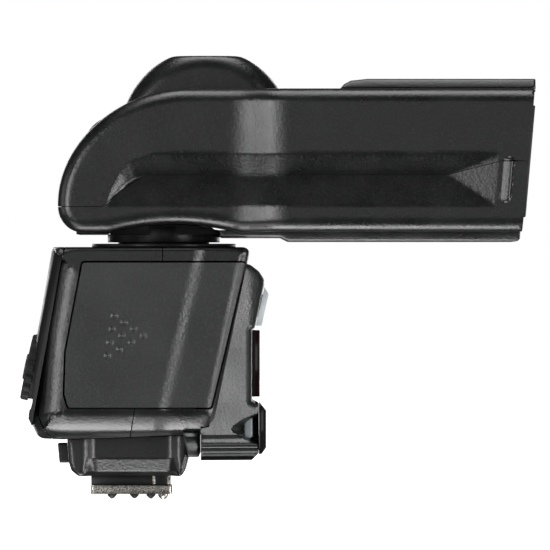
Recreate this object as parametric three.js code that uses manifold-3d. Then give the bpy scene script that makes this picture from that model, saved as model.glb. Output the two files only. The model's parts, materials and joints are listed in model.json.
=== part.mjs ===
// Compact speedlight flash: shoe foot, leaning battery body, swivel and tilt neck, long zoom head.
// Millimetres, +Z up, +X towards the subject. The origin is the middle of the shoe plate's underside.
import * as THREE from 'three';
import { ConvexGeometry } from 'three/addons/geometries/ConvexGeometry.js';
import { mergeVertices } from 'three/addons/utils/BufferGeometryUtils.js';
import Module from 'manifold-3d';

const wasm = await Module();
wasm.setup();

// Driving dimensions

const degree = Math.PI / 180;
const wall = 1.6; // moulded casing wall
const gap = 0.3; // running gap between neighbouring pieces
const touch = 0.05; // gap between pieces that are screwed or clipped together

const body = {
  top: 54.2,
  bottom: 12.2,
  rear: -16.7,
  front: 26.1,
  halfWidth: 31,
  lean: 11 * degree,
};
const seam = { top: 7.1, lean: 9.8 * degree }; // parting line between the two halves of the body
const panelSeam = { top: -14.4, lean: 10.2 * degree }; // parting line of the rear control panel

const swivel = { x: 7, neckRadius: 12.35, spigotRadius: 10, ringRadius: 15.85 };
const pivot = { x: -3.3, z: 75.8, radius: 7.2 };
const wellHalfWidth = 12.8;

const head = {
  rear: -15.8,
  rearSeam: 63,
  top: 88.7,
  bottom: 57.3,
  frontTop: 88,
  frontBottom: 85.3,
  rearHalfWidth: 33,
  frontHalfWidth: 36.5,
  flareStart: 22.8,
  flareEnd: 34.1,
  edge: 2.7,
};
const arch = { rear: -4.5, front: 24, rise: 3.6 }; // under the head, over the neck
const frontSlope = Math.atan2(head.frontTop - head.frontBottom, head.top - head.bottom);
const hump = { x: 16.5, z: 78.7, radius: 18.5, top: 96.1, halfWidth: 20, edge: 4 };
const groove = { top: 74.5, valley: 69.9, bottom: 63, depth: 2.4, rear: -5.1 };

const door = { thickness: 1.8, slide: 6, pocket: 28.2 };
const controls = { x: -19.87, z: 27.43, tilt: 11.75 * degree };
const dial = { radius: 7.3, height: 3.1, spread: 14.5, teeth: 18 };
const cell = { radius: 7.1, length: 49.5, pitch: 15 };
const shoe = {
  halfLength: 8.9,
  halfWidth: 9.3,
  thickness: 2,
  land: 0.05,
  neckHalfWidth: 6.1,
  neckFront: 8.5,
  shelf: 4,
};
const caseScrew = { x: -16.5, y: 22, z: 12.9 };
const headScrew = { x: 70, y: 32.5, z: 57.6 };
const zoom = { railY: 29, railZ: 63.5, railRadius: 1.2, screwY: 20, screwZ: 61.1, screwRadius: 1 };
const tube = { x: 52.4, z: 73, radius: 2, halfLength: 30 };

// Solids from geometry, and back

function solidOf(geometry) {
  const plain = geometry.clone();
  plain.deleteAttribute('normal');
  plain.deleteAttribute('uv');
  const merged = mergeVertices(plain, 1e-4);
  return new wasm.Manifold(new wasm.Mesh({
    numProp: 3,
    vertProperties: merged.attributes.position.array,
    triVerts: new Uint32Array(merged.index.array),
  }));
}

function geometryOf(solid) {
  const { vertProperties, triVerts } = solid.getMesh();
  const geometry = new THREE.BufferGeometry();
  geometry.setAttribute('position', new THREE.BufferAttribute(vertProperties, 3));
  geometry.setIndex(new THREE.BufferAttribute(triVerts, 1));
  geometry.computeVertexNormals();
  return geometry;
}

const join = (first, ...rest) => rest.reduce((sum, piece) => sum.add(piece), first);
const cut = (first, ...rest) => rest.reduce((left, piece) => left.subtract(piece), first);
const clip = (first, ...rest) => rest.reduce((left, piece) => left.intersect(piece), first);

// Basic forms

function polygon(points) {
  return new THREE.Shape(points.map(([x, y]) => new THREE.Vector2(x, y)));
}

function rectangle(x0, x1, y0, y1, radius = 0) {
  if (!radius) return polygon([[x0, y0], [x1, y0], [x1, y1], [x0, y1]]);
  const shape = new THREE.Shape();
  shape.absarc(x1 - radius, y0 + radius, radius, -Math.PI / 2, 0);
  shape.absarc(x1 - radius, y1 - radius, radius, 0, Math.PI / 2);
  shape.absarc(x0 + radius, y1 - radius, radius, Math.PI / 2, Math.PI);
  shape.absarc(x0 + radius, y0 + radius, radius, Math.PI, 1.5 * Math.PI);
  return shape;
}

// An outline pulled out between two heights; its rim is rounded by edge, and inset shrinks it.
function alongZ(shape, low, high, { edge = 0, inset = 0, steps = 6, rings = 3 } = {}) {
  const bevelled = edge > 0 || inset !== 0;
  const round = bevelled ? edge || 0.001 : 0;
  const geometry = new THREE.ExtrudeGeometry(shape, {
    depth: high - low - 2 * round,
    curveSegments: steps,
    bevelEnabled: bevelled,
    bevelThickness: round,
    bevelSize: round,
    bevelOffset: -round - inset,
    bevelSegments: edge ? rings : 1,
  });
  return geometry.translate(0, 0, low + round);
}

// The shape's two axes become X and Z, and it is pulled out along Y.
function alongY(shape, low, high, options = {}) {
  return alongZ(shape, -high, -low, options).rotateX(Math.PI / 2);
}

// The shape's two axes become Y and Z, and it is pulled out along X.
function alongX(shape, low, high, options = {}) {
  const turn = new THREE.Matrix4().makeBasis(
    new THREE.Vector3(0, 1, 0), new THREE.Vector3(0, 0, 1), new THREE.Vector3(1, 0, 0));
  return alongZ(shape, low, high, options).applyMatrix4(turn);
}

function box(x0, x1, y0, y1, z0, z1) {
  const geometry = new THREE.BoxGeometry(x1 - x0, y1 - y0, z1 - z0);
  return geometry.translate((x0 + x1) / 2, (y0 + y1) / 2, (z0 + z1) / 2);
}

function rod(axis, radius, low, high, [a, b] = [0, 0], sides = 24, farRadius = radius) {
  const geometry = new THREE.CylinderGeometry(farRadius, radius, high - low, sides);
  geometry.translate(0, (low + high) / 2, 0);
  if (axis === 'x') return geometry.rotateZ(-Math.PI / 2).translate(0, a, b);
  if (axis === 'z') return geometry.rotateX(Math.PI / 2).translate(a, b, 0);
  return geometry.translate(a, 0, b);
}

// A drum lying along Y whose two rims are rounded.
function roundedDrum(radius, halfWidth, edge, { x, z }) {
  const profile = new THREE.Path();
  profile.moveTo(0, -halfWidth);
  profile.lineTo(radius - edge, -halfWidth);
  profile.absarc(radius - edge, edge - halfWidth, edge, -Math.PI / 2, 0);
  profile.absarc(radius - edge, halfWidth - edge, edge, 0, Math.PI / 2);
  profile.lineTo(0, halfWidth);
  return new THREE.LatheGeometry(profile.getPoints(3), 36).translate(x, 0, z);
}

function leaning(geometry, top, lean) {
  const slope = Math.tan(lean);
  const shear = new THREE.Matrix4().makeShear(0, 0, 0, 0, slope, 0);
  return geometry.applyMatrix4(shear).translate(-top * slope, 0, 0);
}

const both = (make) => join(make(-1), make(1));

// Finishes

const finish = (color, roughness, metalness = 0, opacity = 1) =>
  new THREE.MeshStandardMaterial({ color, roughness, metalness, opacity, transparent: opacity < 1 });

const texturedBlack = finish(0x2a2c2b, 0.6);
const smoothBlack = finish(0x161718, 0.35);
const doorBlack = finish(0x323433, 0.62);
const rubberBlack = finish(0x1b1c1c, 0.8);
const smokedWindow = finish(0x0c0b0c, 0.12);
const redWindow = finish(0x2a0408, 0.15);
const opalLens = finish(0xd8dcdd, 0.3);
const clearLens = finish(0xdfe3e6, 0.08, 0, 0.4);
const brightMetal = finish(0xc9c6c0, 0.22, 1);
const darkMetal = finish(0x4a4a4c, 0.4, 1);
const boardGreen = finish(0x1d4a32, 0.5);
const cellWrap = finish(0x39424a, 0.4);
const cardWhite = finish(0xf1f1ee, 0.6);

const flash = new THREE.Group();

function place(name, shape, material, parent = flash) {
  const geometry = shape.getMesh ? geometryOf(shape) : shape;
  const mesh = new THREE.Mesh(geometry, material);
  mesh.name = name;
  parent.add(mesh);
  return mesh;
}

// Body casing

function bodyBlock(inset) {
  const plan = rectangle(body.rear + inset, body.front - inset,
    -body.halfWidth + inset, body.halfWidth - inset, 5.5 - inset);
  const block = alongZ(plan, body.bottom + inset, body.top - inset, { edge: 1.2, rings: 2, steps: 4 });
  return solidOf(leaning(block, body.top, body.lean));
}

function bodySilhouette() {
  return solidOf(alongY(polygon([
    [-16.9, 54.3], [27, 54.3], [26.4, 51], [17.7, 13.4], [-14.8, 12.2], [-18.7, 12.4],
    [-20.8, 13.9], [-22.2, 16.9], [-21.3, 20.4], [-20.3, 35.5],
  ]), -40, 40));
}

// Everything in front of a leaning plane that meets the body's top at x.
function inFrontOf(x, lean, offset = 0) {
  const near = x + offset;
  const slab = box(near, near + 80, -45, 45, 0, body.top + 4);
  return solidOf(leaning(slab, body.top, lean));
}

const doorOutline = [
  [-10.3, 50.8], [25.5, 50.8], [17.6, 19.3], [-13.4, 19.3], [-14.3, 22.3], [-13.9, 31.5],
];

function bodyShells() {
  const outside = clip(bodyBlock(0), bodySilhouette());
  const inside = clip(bodyBlock(wall), solidOf(box(-60, 60, -40, 40, 15.2, 60)));
  const doorway = doorOutline.map(([x, z], i) => [i === 1 || i === 2 ? x + door.slide : x, z]);
  const doorHole = solidOf(alongY(polygon(doorway), -40, -door.pocket, { inset: -0.35 }));
  const neckHole = solidOf(rod('z', swivel.spigotRadius + gap, 45, 60, [swivel.x, 0], 32));
  const panelHole = cut(
    solidOf(box(-60, -8, -26.6, 26.6, 15.4, 51.8)), inFrontOf(panelSeam.top + 4, panelSeam.lean));
  const frontHole = solidOf(box(14, 40, -20, 20, 17.5, 48));
  const casing = cut(outside, inside, doorHole, neckHole, panelHole, frontHole);
  const screws = both((side) => solidOf(rod('z', 1.25, 0, 15.6, [caseScrew.x, side * caseScrew.y], 16)));
  const forward = cut(casing, screws);
  const front = clip(forward, inFrontOf(seam.top, seam.lean, 0.06));
  const rear = cut(clip(forward, inFrontOf(panelSeam.top, panelSeam.lean, 0.06)),
    inFrontOf(seam.top, seam.lean, -0.06));
  const lug = solidOf(box(13.4, 15.1, -15, 15, 8.4, 13.9));
  return { front: join(front, lug), rear, outside };
}

// The control panel's own frame: X points into the body, Z runs up the panel.
const panel = new THREE.Group();
panel.position.set(controls.x, 0, controls.z);
panel.rotation.y = controls.tilt;
panel.updateMatrix();
flash.add(panel);
const intoPanel = panel.matrix.clone().invert();

function rearPanel(outside) {
  const skin = cut(outside, inFrontOf(panelSeam.top, panelSeam.lean, -0.06));
  const local = solidOf(geometryOf(skin).applyMatrix4(intoPanel));
  const plate = solidOf(box(-0.3, 1.6, -26.2, 26.2, -10.2, 24));
  const dialBay = solidOf(box(-9, 0, -26.2, 26.2, -8.9, 7.7));
  const displayBay = solidOf(box(-9, -0.4, -20.4, 20.4, 9.4, 24.6));
  const ports = both((side) => solidOf(rod('x', 2.2, -4, 4, [side * dial.spread, 0], 20)));
  const keys = join(
    solidOf(alongX(rectangle(-3.3, 3.3, 0.2, 5.8, 1.2), -4, 4, { steps: 3 })),
    solidOf(rod('x', 2.8, -4, 4, [0, -4.2], 24)));
  return cut(join(local, plate), dialBay, displayBay, ports, keys);
}

const shells = bodyShells();
place('rear_shell', shells.rear, texturedBlack);
place('front_shell', shells.front, texturedBlack);
place('rear_panel', rearPanel(shells.outside), smoothBlack, panel);
const display = alongX(rectangle(-20, 20, 9.8, 24.2, 1), -2.1, -1.1, { steps: 3 });
place('display_window', display, smokedWindow, panel);
place('main_board', box(4.2, 5.4, -24, 24, -8, 21.5), boardGreen, panel);

// Dials and keys on the panel

function dialKnob() {
  const rim = new THREE.Shape();
  const steps = dial.teeth * 4;
  for (let i = 0; i < steps; i++) {
    const angle = (i / steps) * 2 * Math.PI;
    const radius = i % 4 < 2 ? dial.radius : dial.radius - 0.7;
    rim[i ? 'lineTo' : 'moveTo'](radius * Math.cos(angle), radius * Math.sin(angle));
  }
  const crown = solidOf(alongX(rim, -dial.height, -1.3));
  const skirt = solidOf(rod('x', dial.radius - 0.5, -1.4, -gap, [0, 0], 36));
  const shaft = solidOf(rod('x', 1.9, -0.5, 2.6, [0, 0], 16));
  return join(crown, skirt, shaft);
}

const leftDial = place('mode_dial', dialKnob(), rubberBlack, panel);
leftDial.position.y = dial.spread;
const rightKnob = cut(dialKnob(),
  solidOf(rod('x', 3.1, -4, -1.2, [0, 0], 24)), solidOf(rod('x', 1, -4, 4, [0, 0], 12)));
const rightDial = place('value_dial', rightKnob, rubberBlack, panel);
rightDial.position.y = -dial.spread;
const setKey = join(
  solidOf(rod('x', 2.8, -dial.height - 0.4, -1.9, [0, 0], 24)), solidOf(rod('x', 0.8, -2, 3, [0, 0], 12)));
place('set_button', setKey, smoothBlack, panel).position.y = -dial.spread;
const powerKey = alongX(rectangle(-3, 3, 0.5, 5.5, 1), -1.4, 2.4, { steps: 3 });
place('power_button', powerKey, rubberBlack, panel);
place('test_button', rod('x', 2.5, -1.4, 2.4, [0, -4.2], 24), opalLens, panel);

// Battery door, tray and cells

// The leaf lies in a pocket behind the door's front edge; it slides with the door and carries its hinge.
const leafOutline = [[18.2, 50.1], [22.6, 50.1], [16, 20], [11.6, 20]];

function batteryDoor() {
  const skin = solidOf(alongY(polygon(doorOutline), -body.halfWidth, -body.halfWidth + door.thickness));
  const outerForm = clip(bodyBlock(0.02), solidOf(box(-60, 60, -40, 0, 0, 60)));
  const pocket = solidOf(alongY(polygon([[17.7, 51.5], [30, 51.5], [24, 18], [10.4, 18]]), -29.85, -28));
  return cut(clip(skin, outerForm), pocket);
}

const hingeLeaf = () => alongY(polygon(leafOutline), -29.65, -29.05);

function cellCentres() {
  const rows = [[5.9, 42.6], [2.9, 27.6]];
  return rows.flatMap(([x, z]) => [-1, 1].map((side) => [x + side * cell.pitch / 2, z]));
}

function batteryTray() {
  const frame = solidOf(alongY(polygon([
    [-9.2, 50.3], [22, 50.3], [14, 18.4], [-13.6, 18.4], [-13.6, 29],
  ]), -26.9, 25.6));
  const bores = cellCentres().map(([x, z]) =>
    solidOf(rod('y', cell.radius + gap, -40, 23.6, [x, z], 24)));
  return cut(frame, ...bores);
}

place('battery_door', batteryDoor(), doorBlack);
place('door_hinge_leaf', hingeLeaf(), darkMetal);
place('battery_tray', batteryTray(), smoothBlack);
cellCentres().forEach(([x, z], i) => {
  const turn = i === 0 || i === 3 ? 1 : -1;
  const can = solidOf(rod('y', cell.radius, -26, -26 + cell.length - 1.2, [x, z], 24));
  const tip = turn > 0
    ? solidOf(rod('y', 2.7, -27.2, -25.9, [x, z], 16))
    : solidOf(rod('y', 2.7, 22, 23.4, [x, z], 16));
  place(`battery_cell_${i + 1}`, join(can, tip), cellWrap);
});
const contactOutline = polygon([[-8.8, 49.4], [21, 49.4], [14.6, 20], [-12.4, 20], [-12.4, 29]]);
place('battery_contact_plate', alongY(contactOutline, 26, 26.6), brightMetal);

// Front cover with lamp, focus window and sensor

function frontCover() {
  const outline = [
    [25.9, 50.4], [27.8, 49.1], [29.1, 47.4], [29.1, 45.8], [27.1, 36.4], [26.4, 36.1], [26.3, 20.4],
    [27.9, 19.6], [27.9, 9], [26.6, 7.7], [15.4, 7.7], [15.4, 13.1], [17.9, 13.1],
  ];
  const plan = polygon([[14, -28], [19, -28], [31, -23.5], [31, 23.5], [19, 28], [14, 28]]);
  const solid = clip(
    solidOf(alongY(polygon(outline), -28, 28, { edge: 1.6, rings: 2 })), solidOf(alongZ(plan, 0, 60)));
  const hollow = solidOf(alongY(polygon([
    [24, 47.6], [27.4, 46.4], [25.4, 36.8], [24.7, 35.8], [24.7, 18.9], [26.2, 17.9], [26.2, 9.6],
    [17.2, 9.6], [17.2, 13],
  ]), -22, 22));
  const scoops = both((side) => solidOf(
    rod('y', 2.6, side < 0 ? -30 : 18.5, side < 0 ? -18.5 : 30, [26.4, 14.8], 20)));
  const lampHole = solidOf(box(24, 32, -11, 11, 38.5, 44.2));
  const focusHole = solidOf(box(24, 32, -8, 8, 23.5, 34));
  const hooded = cut(solid, hollow, scoops, lampHole, focusHole);
  return cut(hooded, inverseOfShellFront());
}

// Material behind the front shell's leaning face, which the cover must keep clear of.
function inverseOfShellFront() {
  const slab = leaning(box(-60, body.front + 0.12, -45, 45, 13.2, body.top + 5), body.top, body.lean);
  return solidOf(slab);
}

function lampLens() {
  const outline = polygon([[29.25, 45.5], [30.15, 43.9], [28.6, 37], [27.3, 37], [27.25, 36.9]]);
  return join(
    solidOf(alongY(outline, -14, 14, { steps: 2 })),
    solidOf(alongY(polygon([[25.9, 43.8], [29.2, 43.8], [28.2, 38.9], [24.9, 38.9]]), -10.6, 10.6)));
}

place('front_cover', frontCover(), texturedBlack);
place('video_light_lens', lampLens(), opalLens);
place('focus_assist_window', join(
  solidOf(box(26.5, 28.2, -12, 12, 21.4, 36)), solidOf(box(24.9, 26.6, -7.6, 7.6, 24, 33.6))), redWindow);
place('sensor_window', alongY(polygon([
  [28, 20.2], [28.2, 20.2], [29.6, 18.5], [29.6, 10.4], [28.6, 9], [28, 9],
]), -22.5, 22.5), smokedWindow);
place('sensor_lens', rod('y', 2.2, -18.2, 18.2, [23.9, 14.8], 20), clearLens);

// Foot and shoe

const contactSpots = [[0.55, 0], [-4.36, 3.1], [-4.36, -3.1], [4.2, 3.1], [4.2, -3.1]];
const lockPin = { x: 6.86, radius: 1.1 };

function footHousing() {
  const outline = [
    [-13.9, 12.1], [-13.6, 7], [-12.9, 5.2], [-11.5, 4], [11, 4], [12.2, 5.4], [12.6, 8.2], [13.1, 13.1],
  ];
  const block = solidOf(alongY(polygon(outline), -17, 17, { edge: 1.8, rings: 2 }));
  const recess = both((side) => solidOf(alongX(polygon([
    [side * 18, 11.9], [side * 15.6, 11.9], [side * 15.6, 7.9], [side * 18, 5.2],
  ]), -7.6, 8.2)));
  const buttonBay = solidOf(box(-20, -10.6, -5.3, 5.3, 6.5, 11.3));
  const pinBay = solidOf(box(5, 8.7, -3.8, 3.8, 0, 10.6));
  const springBay = contactSpots.map(([x, y]) => solidOf(rod('z', 1.5, 0, 10, [x, y], 12)));
  return cut(block, recess, buttonBay, pinBay, ...springBay, ...screwHoles());
}

function contactHoles() {
  return contactSpots.map(([x, y]) => solidOf(rod('z', 1.3, -3, 6, [x, y], 12)));
}

function pinHole() {
  return solidOf(rod('z', lockPin.radius + 0.2, -3, 5, [lockPin.x, 0], 16));
}

function shoeNeck() {
  const block = solidOf(box(-shoe.halfLength, shoe.neckFront,
    -shoe.neckHalfWidth, shoe.neckHalfWidth, shoe.thickness, shoe.shelf));
  const notches = both((side) => solidOf(box(5.2, 8, 6 * side - 1.4, 6 * side + 1.4, 1, 5)));
  return cut(block, notches, pinHole(), ...contactHoles(), ...screwHoles());
}

const screwSpots = [[-0.2, -4.2], [-0.2, 4.2]];

function screwHoles() {
  return screwSpots.map(([x, y]) => solidOf(rod('z', 0.95, -3, 8, [x, y], 12)));
}

// The plate stands a hair taller under the neck, so the two flanges that the rails grip
// are faces of their own.
function shoePlate() {
  const plan = rectangle(-shoe.halfLength, shoe.halfLength, -shoe.halfWidth, shoe.halfWidth, 0.6);
  const flange = shoe.thickness - touch - shoe.land;
  const plate = join(
    solidOf(alongZ(plan, 0, flange, { steps: 2 })),
    solidOf(box(-shoe.halfLength, shoe.neckFront, -shoe.neckHalfWidth, shoe.neckHalfWidth,
      flange - 0.2, flange + shoe.land)));
  const heads = screwSpots.map(([x, y]) => solidOf(rod('z', 1.65, -3, 1, [x, y], 16)));
  return cut(plate, pinHole(), ...contactHoles(), ...screwHoles(), ...heads);
}

place('foot_housing', footHousing(), texturedBlack);
place('shoe_neck', shoeNeck(), smoothBlack);
place('shoe_plate', shoePlate(), brightMetal);
screwSpots.forEach(([x, y], i) => place(`shoe_screw_${i + 1}`, join(
  solidOf(rod('z', 1.5, 0.15, 0.95, [x, y], 16)),
  solidOf(rod('z', 0.8, 0.9, 6.5, [x, y], 12))), darkMetal));
contactSpots.forEach(([x, y], i) => {
  const tip = solidOf(rod('z', 1, -0.45, 5.2, [x, y], 12));
  const nose = solidOf(rod('z', 0.25, -1.1, -0.4, [x, y], 12, 1));
  place(`shoe_contact_${i + 1}`, join(tip, nose), darkMetal);
});
const pinBody = join(
  solidOf(rod('z', lockPin.radius, -0.6, 7.4, [lockPin.x, 0], 16)),
  solidOf(rod('z', 0.5, -1.27, -0.55, [lockPin.x, 0], 16, lockPin.radius)));
place('shoe_lock_pin', pinBody, brightMetal);
const releaseOutline = polygon([[-16.3, 11.1], [-13, 11.1], [-13, 6.8], [-15.9, 6.8]]);
const releaseKey = alongY(releaseOutline, -5, 5, { edge: 0.4, rings: 1 });
place('shoe_release_button', releaseKey, rubberBlack);

// A pan-head screw seen from below, standing up into its boss.
function uprightScrew(x, y, z) {
  const shank = solidOf(rod('z', 0.7, z + 0.6, z + 4.4, [x, y], 12));
  return join(solidOf(rod('z', 1.1, z, z + 0.7, [x, y], 12)), shank);
}

function placeScrewPair(name, { x, y, z }) {
  place(`${name}_right`, uprightScrew(x, -y, z), darkMetal);
  place(`${name}_left`, uprightScrew(x, y, z), darkMetal);
}

placeScrewPair('case_screw', caseScrew);

// Swivel neck

function ringCollar() {
  const ring = solidOf(rod('z', swivel.ringRadius, body.top + touch, 55, [swivel.x, 0], 48));
  return cut(ring, solidOf(rod('z', swivel.spigotRadius + gap, 40, 60, [swivel.x, 0], 32)));
}

// The head's underside is arched over the neck, whose top follows that arch.
function archedUnderside(outline, offset = 0) {
  outline.lineTo(arch.front, head.bottom - offset);
  outline.quadraticCurveTo((arch.front + arch.rear) / 2, head.bottom + arch.rise - offset,
    arch.rear, head.bottom - offset);
}

function underArch() {
  const below = new THREE.Shape();
  below.moveTo(arch.rear - 5, head.bottom - gap);
  below.lineTo(arch.rear - 5, 40);
  below.lineTo(arch.front, 40);
  archedUnderside(below, gap);
  return solidOf(alongY(below, -20, 20));
}

function yoke() {
  const arm = new THREE.Shape();
  arm.moveTo(-4.4, 57);
  arm.quadraticCurveTo(-10.5, 60.5, pivot.x - pivot.radius, 67);
  arm.lineTo(pivot.x - pivot.radius, pivot.z);
  arm.absarc(pivot.x, pivot.z, pivot.radius, Math.PI, 0, true);
  arm.lineTo(pivot.x + pivot.radius, 57);
  const half = swivel.neckRadius;
  const tower = solidOf(alongY(arm, -half, half, { steps: 12 }));
  const neck = clip(solidOf(rod('z', half, 55.3, 60, [swivel.x, 0], 40)), underArch());
  const spigot = join(
    solidOf(rod('z', swivel.spigotRadius, 52.4, 55.4, [swivel.x, 0], 32)),
    solidOf(rod('z', 8, 51, 52.5, [swivel.x, 0], 32)));
  const bore = solidOf(rod('y', 2.5, -20, 20, [pivot.x, pivot.z], 20));
  const cableWay = solidOf(rod('z', 4, 40, 58, [swivel.x + 2, 0], 20));
  return cut(join(tower, neck, spigot), bore, cableWay);
}

place('swivel_ring', ringCollar(), smoothBlack);
place('tilt_yoke', yoke(), smoothBlack);
place('swivel_retainer', cut(
  solidOf(rod('z', 12.6, 51.1, 52.2, [swivel.x, 0], 32)),
  solidOf(rod('z', 8.2, 40, 60, [swivel.x, 0], 32))), darkMetal);
place('tilt_pin', rod('y', 2.4, -13.9, 13.9, [pivot.x, pivot.z], 20), brightMetal);

// Head casing

function headOutline() {
  const outline = new THREE.Shape();
  const kappa = 0.44;
  const start = { x: head.rear, z: 63.8 };
  const end = { x: 10.8, z: head.top };
  outline.moveTo(start.x, start.z);
  outline.bezierCurveTo(start.x, start.z + kappa * (end.z - start.z),
    end.x - kappa * (end.x - start.x), end.z, end.x, end.z);
  outline.lineTo(head.frontTop, head.top);
  outline.lineTo(head.frontBottom, head.bottom);
  archedUnderside(outline);
  outline.lineTo(-10.3, head.bottom);
  outline.absarc(-10.3, head.bottom + 5.5, 5.5, -Math.PI / 2, -Math.PI, true);
  return outline;
}

function headForm(inset) {
  const outline = headOutline();
  const options = { edge: head.edge - inset * 0.6, inset, steps: inset ? 6 : 8, rings: inset ? 1 : 2 };
  const rearForm = solidOf(alongY(outline,
    -head.rearHalfWidth + inset, head.rearHalfWidth - inset, options));
  const frontForm = solidOf(alongY(outline,
    -head.frontHalfWidth + inset, head.frontHalfWidth - inset, options));
  const plan = polygon([
    [head.flareStart, inset - head.rearHalfWidth], [head.flareEnd, inset - head.frontHalfWidth - 0.05],
    [100, inset - head.frontHalfWidth - 0.05], [100, head.frontHalfWidth + 0.05 - inset],
    [head.flareEnd, head.frontHalfWidth + 0.05 - inset], [head.flareStart, head.rearHalfWidth - inset],
  ]);
  const drum = solidOf(roundedDrum(hump.radius - inset, hump.halfWidth - inset, hump.edge - inset, hump));
  const humpForm = clip(drum, solidOf(box(-20, 60, -40, 40, hump.z, hump.top - inset)));
  return join(rearForm, clip(frontForm, solidOf(alongZ(plan, 0, 120))), humpForm);
}

// Region above the parting line, which steps up along the valley of the side groove.
function aboveSplit(offset) {
  const z = (value) => value + offset;
  return solidOf(alongY(polygon([
    [-40, z(head.rearSeam)], [groove.rear, z(head.rearSeam)], [-2, z(66.6)], [2, z(69.2)],
    [5, z(groove.valley)], [80, z(groove.valley)], [80.6, z(72.9)], [120, z(72.9)], [120, 130], [-40, 130],
  ]), -60, 60));
}

// The long side groove: a shallow V whose valley line runs out in a curve at the rear, and whose front end
// closes with a triangular facet. sunk moves the whole cut inwards.
function sideGrooves(sunk) {
  const proud = 0.4;
  const rise = proud * (groove.top - groove.valley) / groove.depth;
  const fall = proud * (groove.valley - groove.bottom) / groove.depth;
  const rearFace = head.rearHalfWidth - sunk;
  const frontFace = head.frontHalfWidth - sunk;
  const section = (x, face) => [
    [x, face + proud, groove.top + rise], [x, face + proud, groove.bottom - fall],
    [x, face - groove.depth, groove.valley],
  ];
  const tail = [
    [4.6, rearFace + proud, groove.top + rise], [0, rearFace + proud, 73.5],
    [-2.4, rearFace + proud, 70.8], [-4, rearFace + proud, 67.9], [-5.6, rearFace + proud, 63.4],
    [-5.6, rearFace + proud, groove.bottom - fall], [4.2, rearFace - groove.depth, groove.valley],
    [0.3, rearFace - 1.8, 68.1], [-2.7, rearFace - 0.8, 65.9],
  ];
  const nose = [
    [81, frontFace + proud, groove.top + rise], [80, frontFace + proud, groove.bottom - fall],
    [69.1, frontFace - groove.depth, groove.valley],
  ];
  const parts = [
    [...tail, ...section(head.flareStart, rearFace)],
    [...section(head.flareStart, rearFace), ...section(head.flareEnd, frontFace)],
    [...section(head.flareEnd, frontFace), ...nose],
  ];
  return both((side) => join(...parts.map((corners) =>
    solidOf(new ConvexGeometry(corners.map(([x, y, z]) => new THREE.Vector3(x, side * y, z)))))));
}

// A rounded upright bar on each side, just behind the front edge.
function sideRibs() {
  return both((side) => solidOf(
    rod('z', 1, -4.8, 4.8, [0, 0], 12).rotateY(frontSlope).translate(82, side * 36.2, 69.1)));
}

function yokeWell(extra, halfWidth) {
  const well = new THREE.Shape();
  const radius = pivot.radius + 0.4 + extra;
  well.moveTo(-40, 40);
  well.lineTo(pivot.x + radius, 40);
  well.lineTo(pivot.x + radius, pivot.z);
  well.absarc(pivot.x, pivot.z, radius, 0, Math.PI / 2, false);
  well.lineTo(-40, pivot.z + radius);
  return solidOf(alongY(well, -halfWidth, halfWidth, { steps: 8 }));
}

const headOutside = cut(join(headForm(0), sideRibs()), sideGrooves(0));
const headInside = cut(headForm(wall), sideGrooves(wall));
const well = yokeWell(0, wellHalfWidth);

function headShell() {
  const window = solidOf(leanedFront(box(-8, 8, -31.3, 31.3, -12.6, 12.4)));
  const cardSlot = solidOf(box(46.6, 100, -28.3, 28.3, 87.9, 95));
  const screws = both((side) => solidOf(rod('z', 1.3, 50, 60.5, [headScrew.x, side * headScrew.y], 12)));
  return cut(headOutside, headInside, well, window, cardSlot, screws);
}

// Moves a piece that is drawn round the middle of the front face onto that sloping face.
function leanedFront(geometry) {
  const x = (head.frontTop + head.frontBottom) / 2;
  const z = (head.top + head.bottom) / 2;
  return geometry.rotateY(frontSlope).translate(x, 0, z);
}

const headCase = headShell();
place('head_upper_shell', clip(headCase, aboveSplit(0.1)), texturedBlack);
place('head_lower_shell', cut(headCase, aboveSplit(-0.1)), texturedBlack);
place('yoke_well', cut(
  clip(yokeWell(1.3, wellHalfWidth + 1.3), headForm(wall + 0.1)), well,
  solidOf(rod('y', 2.6, -20, 20, [pivot.x, pivot.z], 20))), smoothBlack);

const bezelFrame = cut(
  solidOf(box(-3.4, 0.5, -31, 31, -12.3, 12.1)), solidOf(box(-9, 9, -29.4, 29.4, -10.7, 10.5)));
place('front_bezel', leanedFront(geometryOf(bezelFrame)), smoothBlack);
place('fresnel_lens', leanedFront(box(-2.6, -0.6, -29.1, 29.1, -10.4, 10.2)), clearLens);

function panelCover() {
  const side = new THREE.Shape();
  side.moveTo(45.7, head.top + touch);
  side.quadraticCurveTo(47, 90.5, 51.6, 90.8);
  side.lineTo(head.frontTop + 0.2, 90.8);
  side.lineTo(head.frontTop, head.top + touch);
  const lid = solidOf(alongY(side, -30, 30, { steps: 5 }));
  return cut(lid, solidOf(box(47.6, 100, -28.3, 28.3, 80, 90)));
}

place('panel_cover', panelCover(), texturedBlack);
place('underside_pad', solidOf(alongY(polygon([
  [20.4, 57.2], [20.4, 56.3], [32.6, 56.3], [34, 55.3], [84.2, 55.3], [84.8, 55.9], [85, 57.2],
]), -30, 30)), texturedBlack);
placeScrewPair('head_screw', headScrew);

// Light unit inside the head

place('main_capacitor', rod('y', 11.6, -18, 18, [19.4, 79.8], 32), smoothBlack);
place('trigger_board', box(33.4, 34.8, -29, 29, 59.6, 86.2), boardGreen);
place('zoom_motor', alongX(rectangle(15, 25, 59.7, 66.5, 2), 23, 33, { steps: 3 }), brightMetal);
const crossBar = solidOf(box(35, 36.2, -30, 30, 62.3, 64.7));
const rails = both((side) => solidOf(
  rod('x', zoom.railRadius, 35, 81, [side * zoom.railY, zoom.railZ], 16)));
place('zoom_rails', join(crossBar, rails), brightMetal);
place('zoom_screw', rod('x', zoom.screwRadius, 35, 80, [zoom.screwY, zoom.screwZ], 16), brightMetal);

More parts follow.
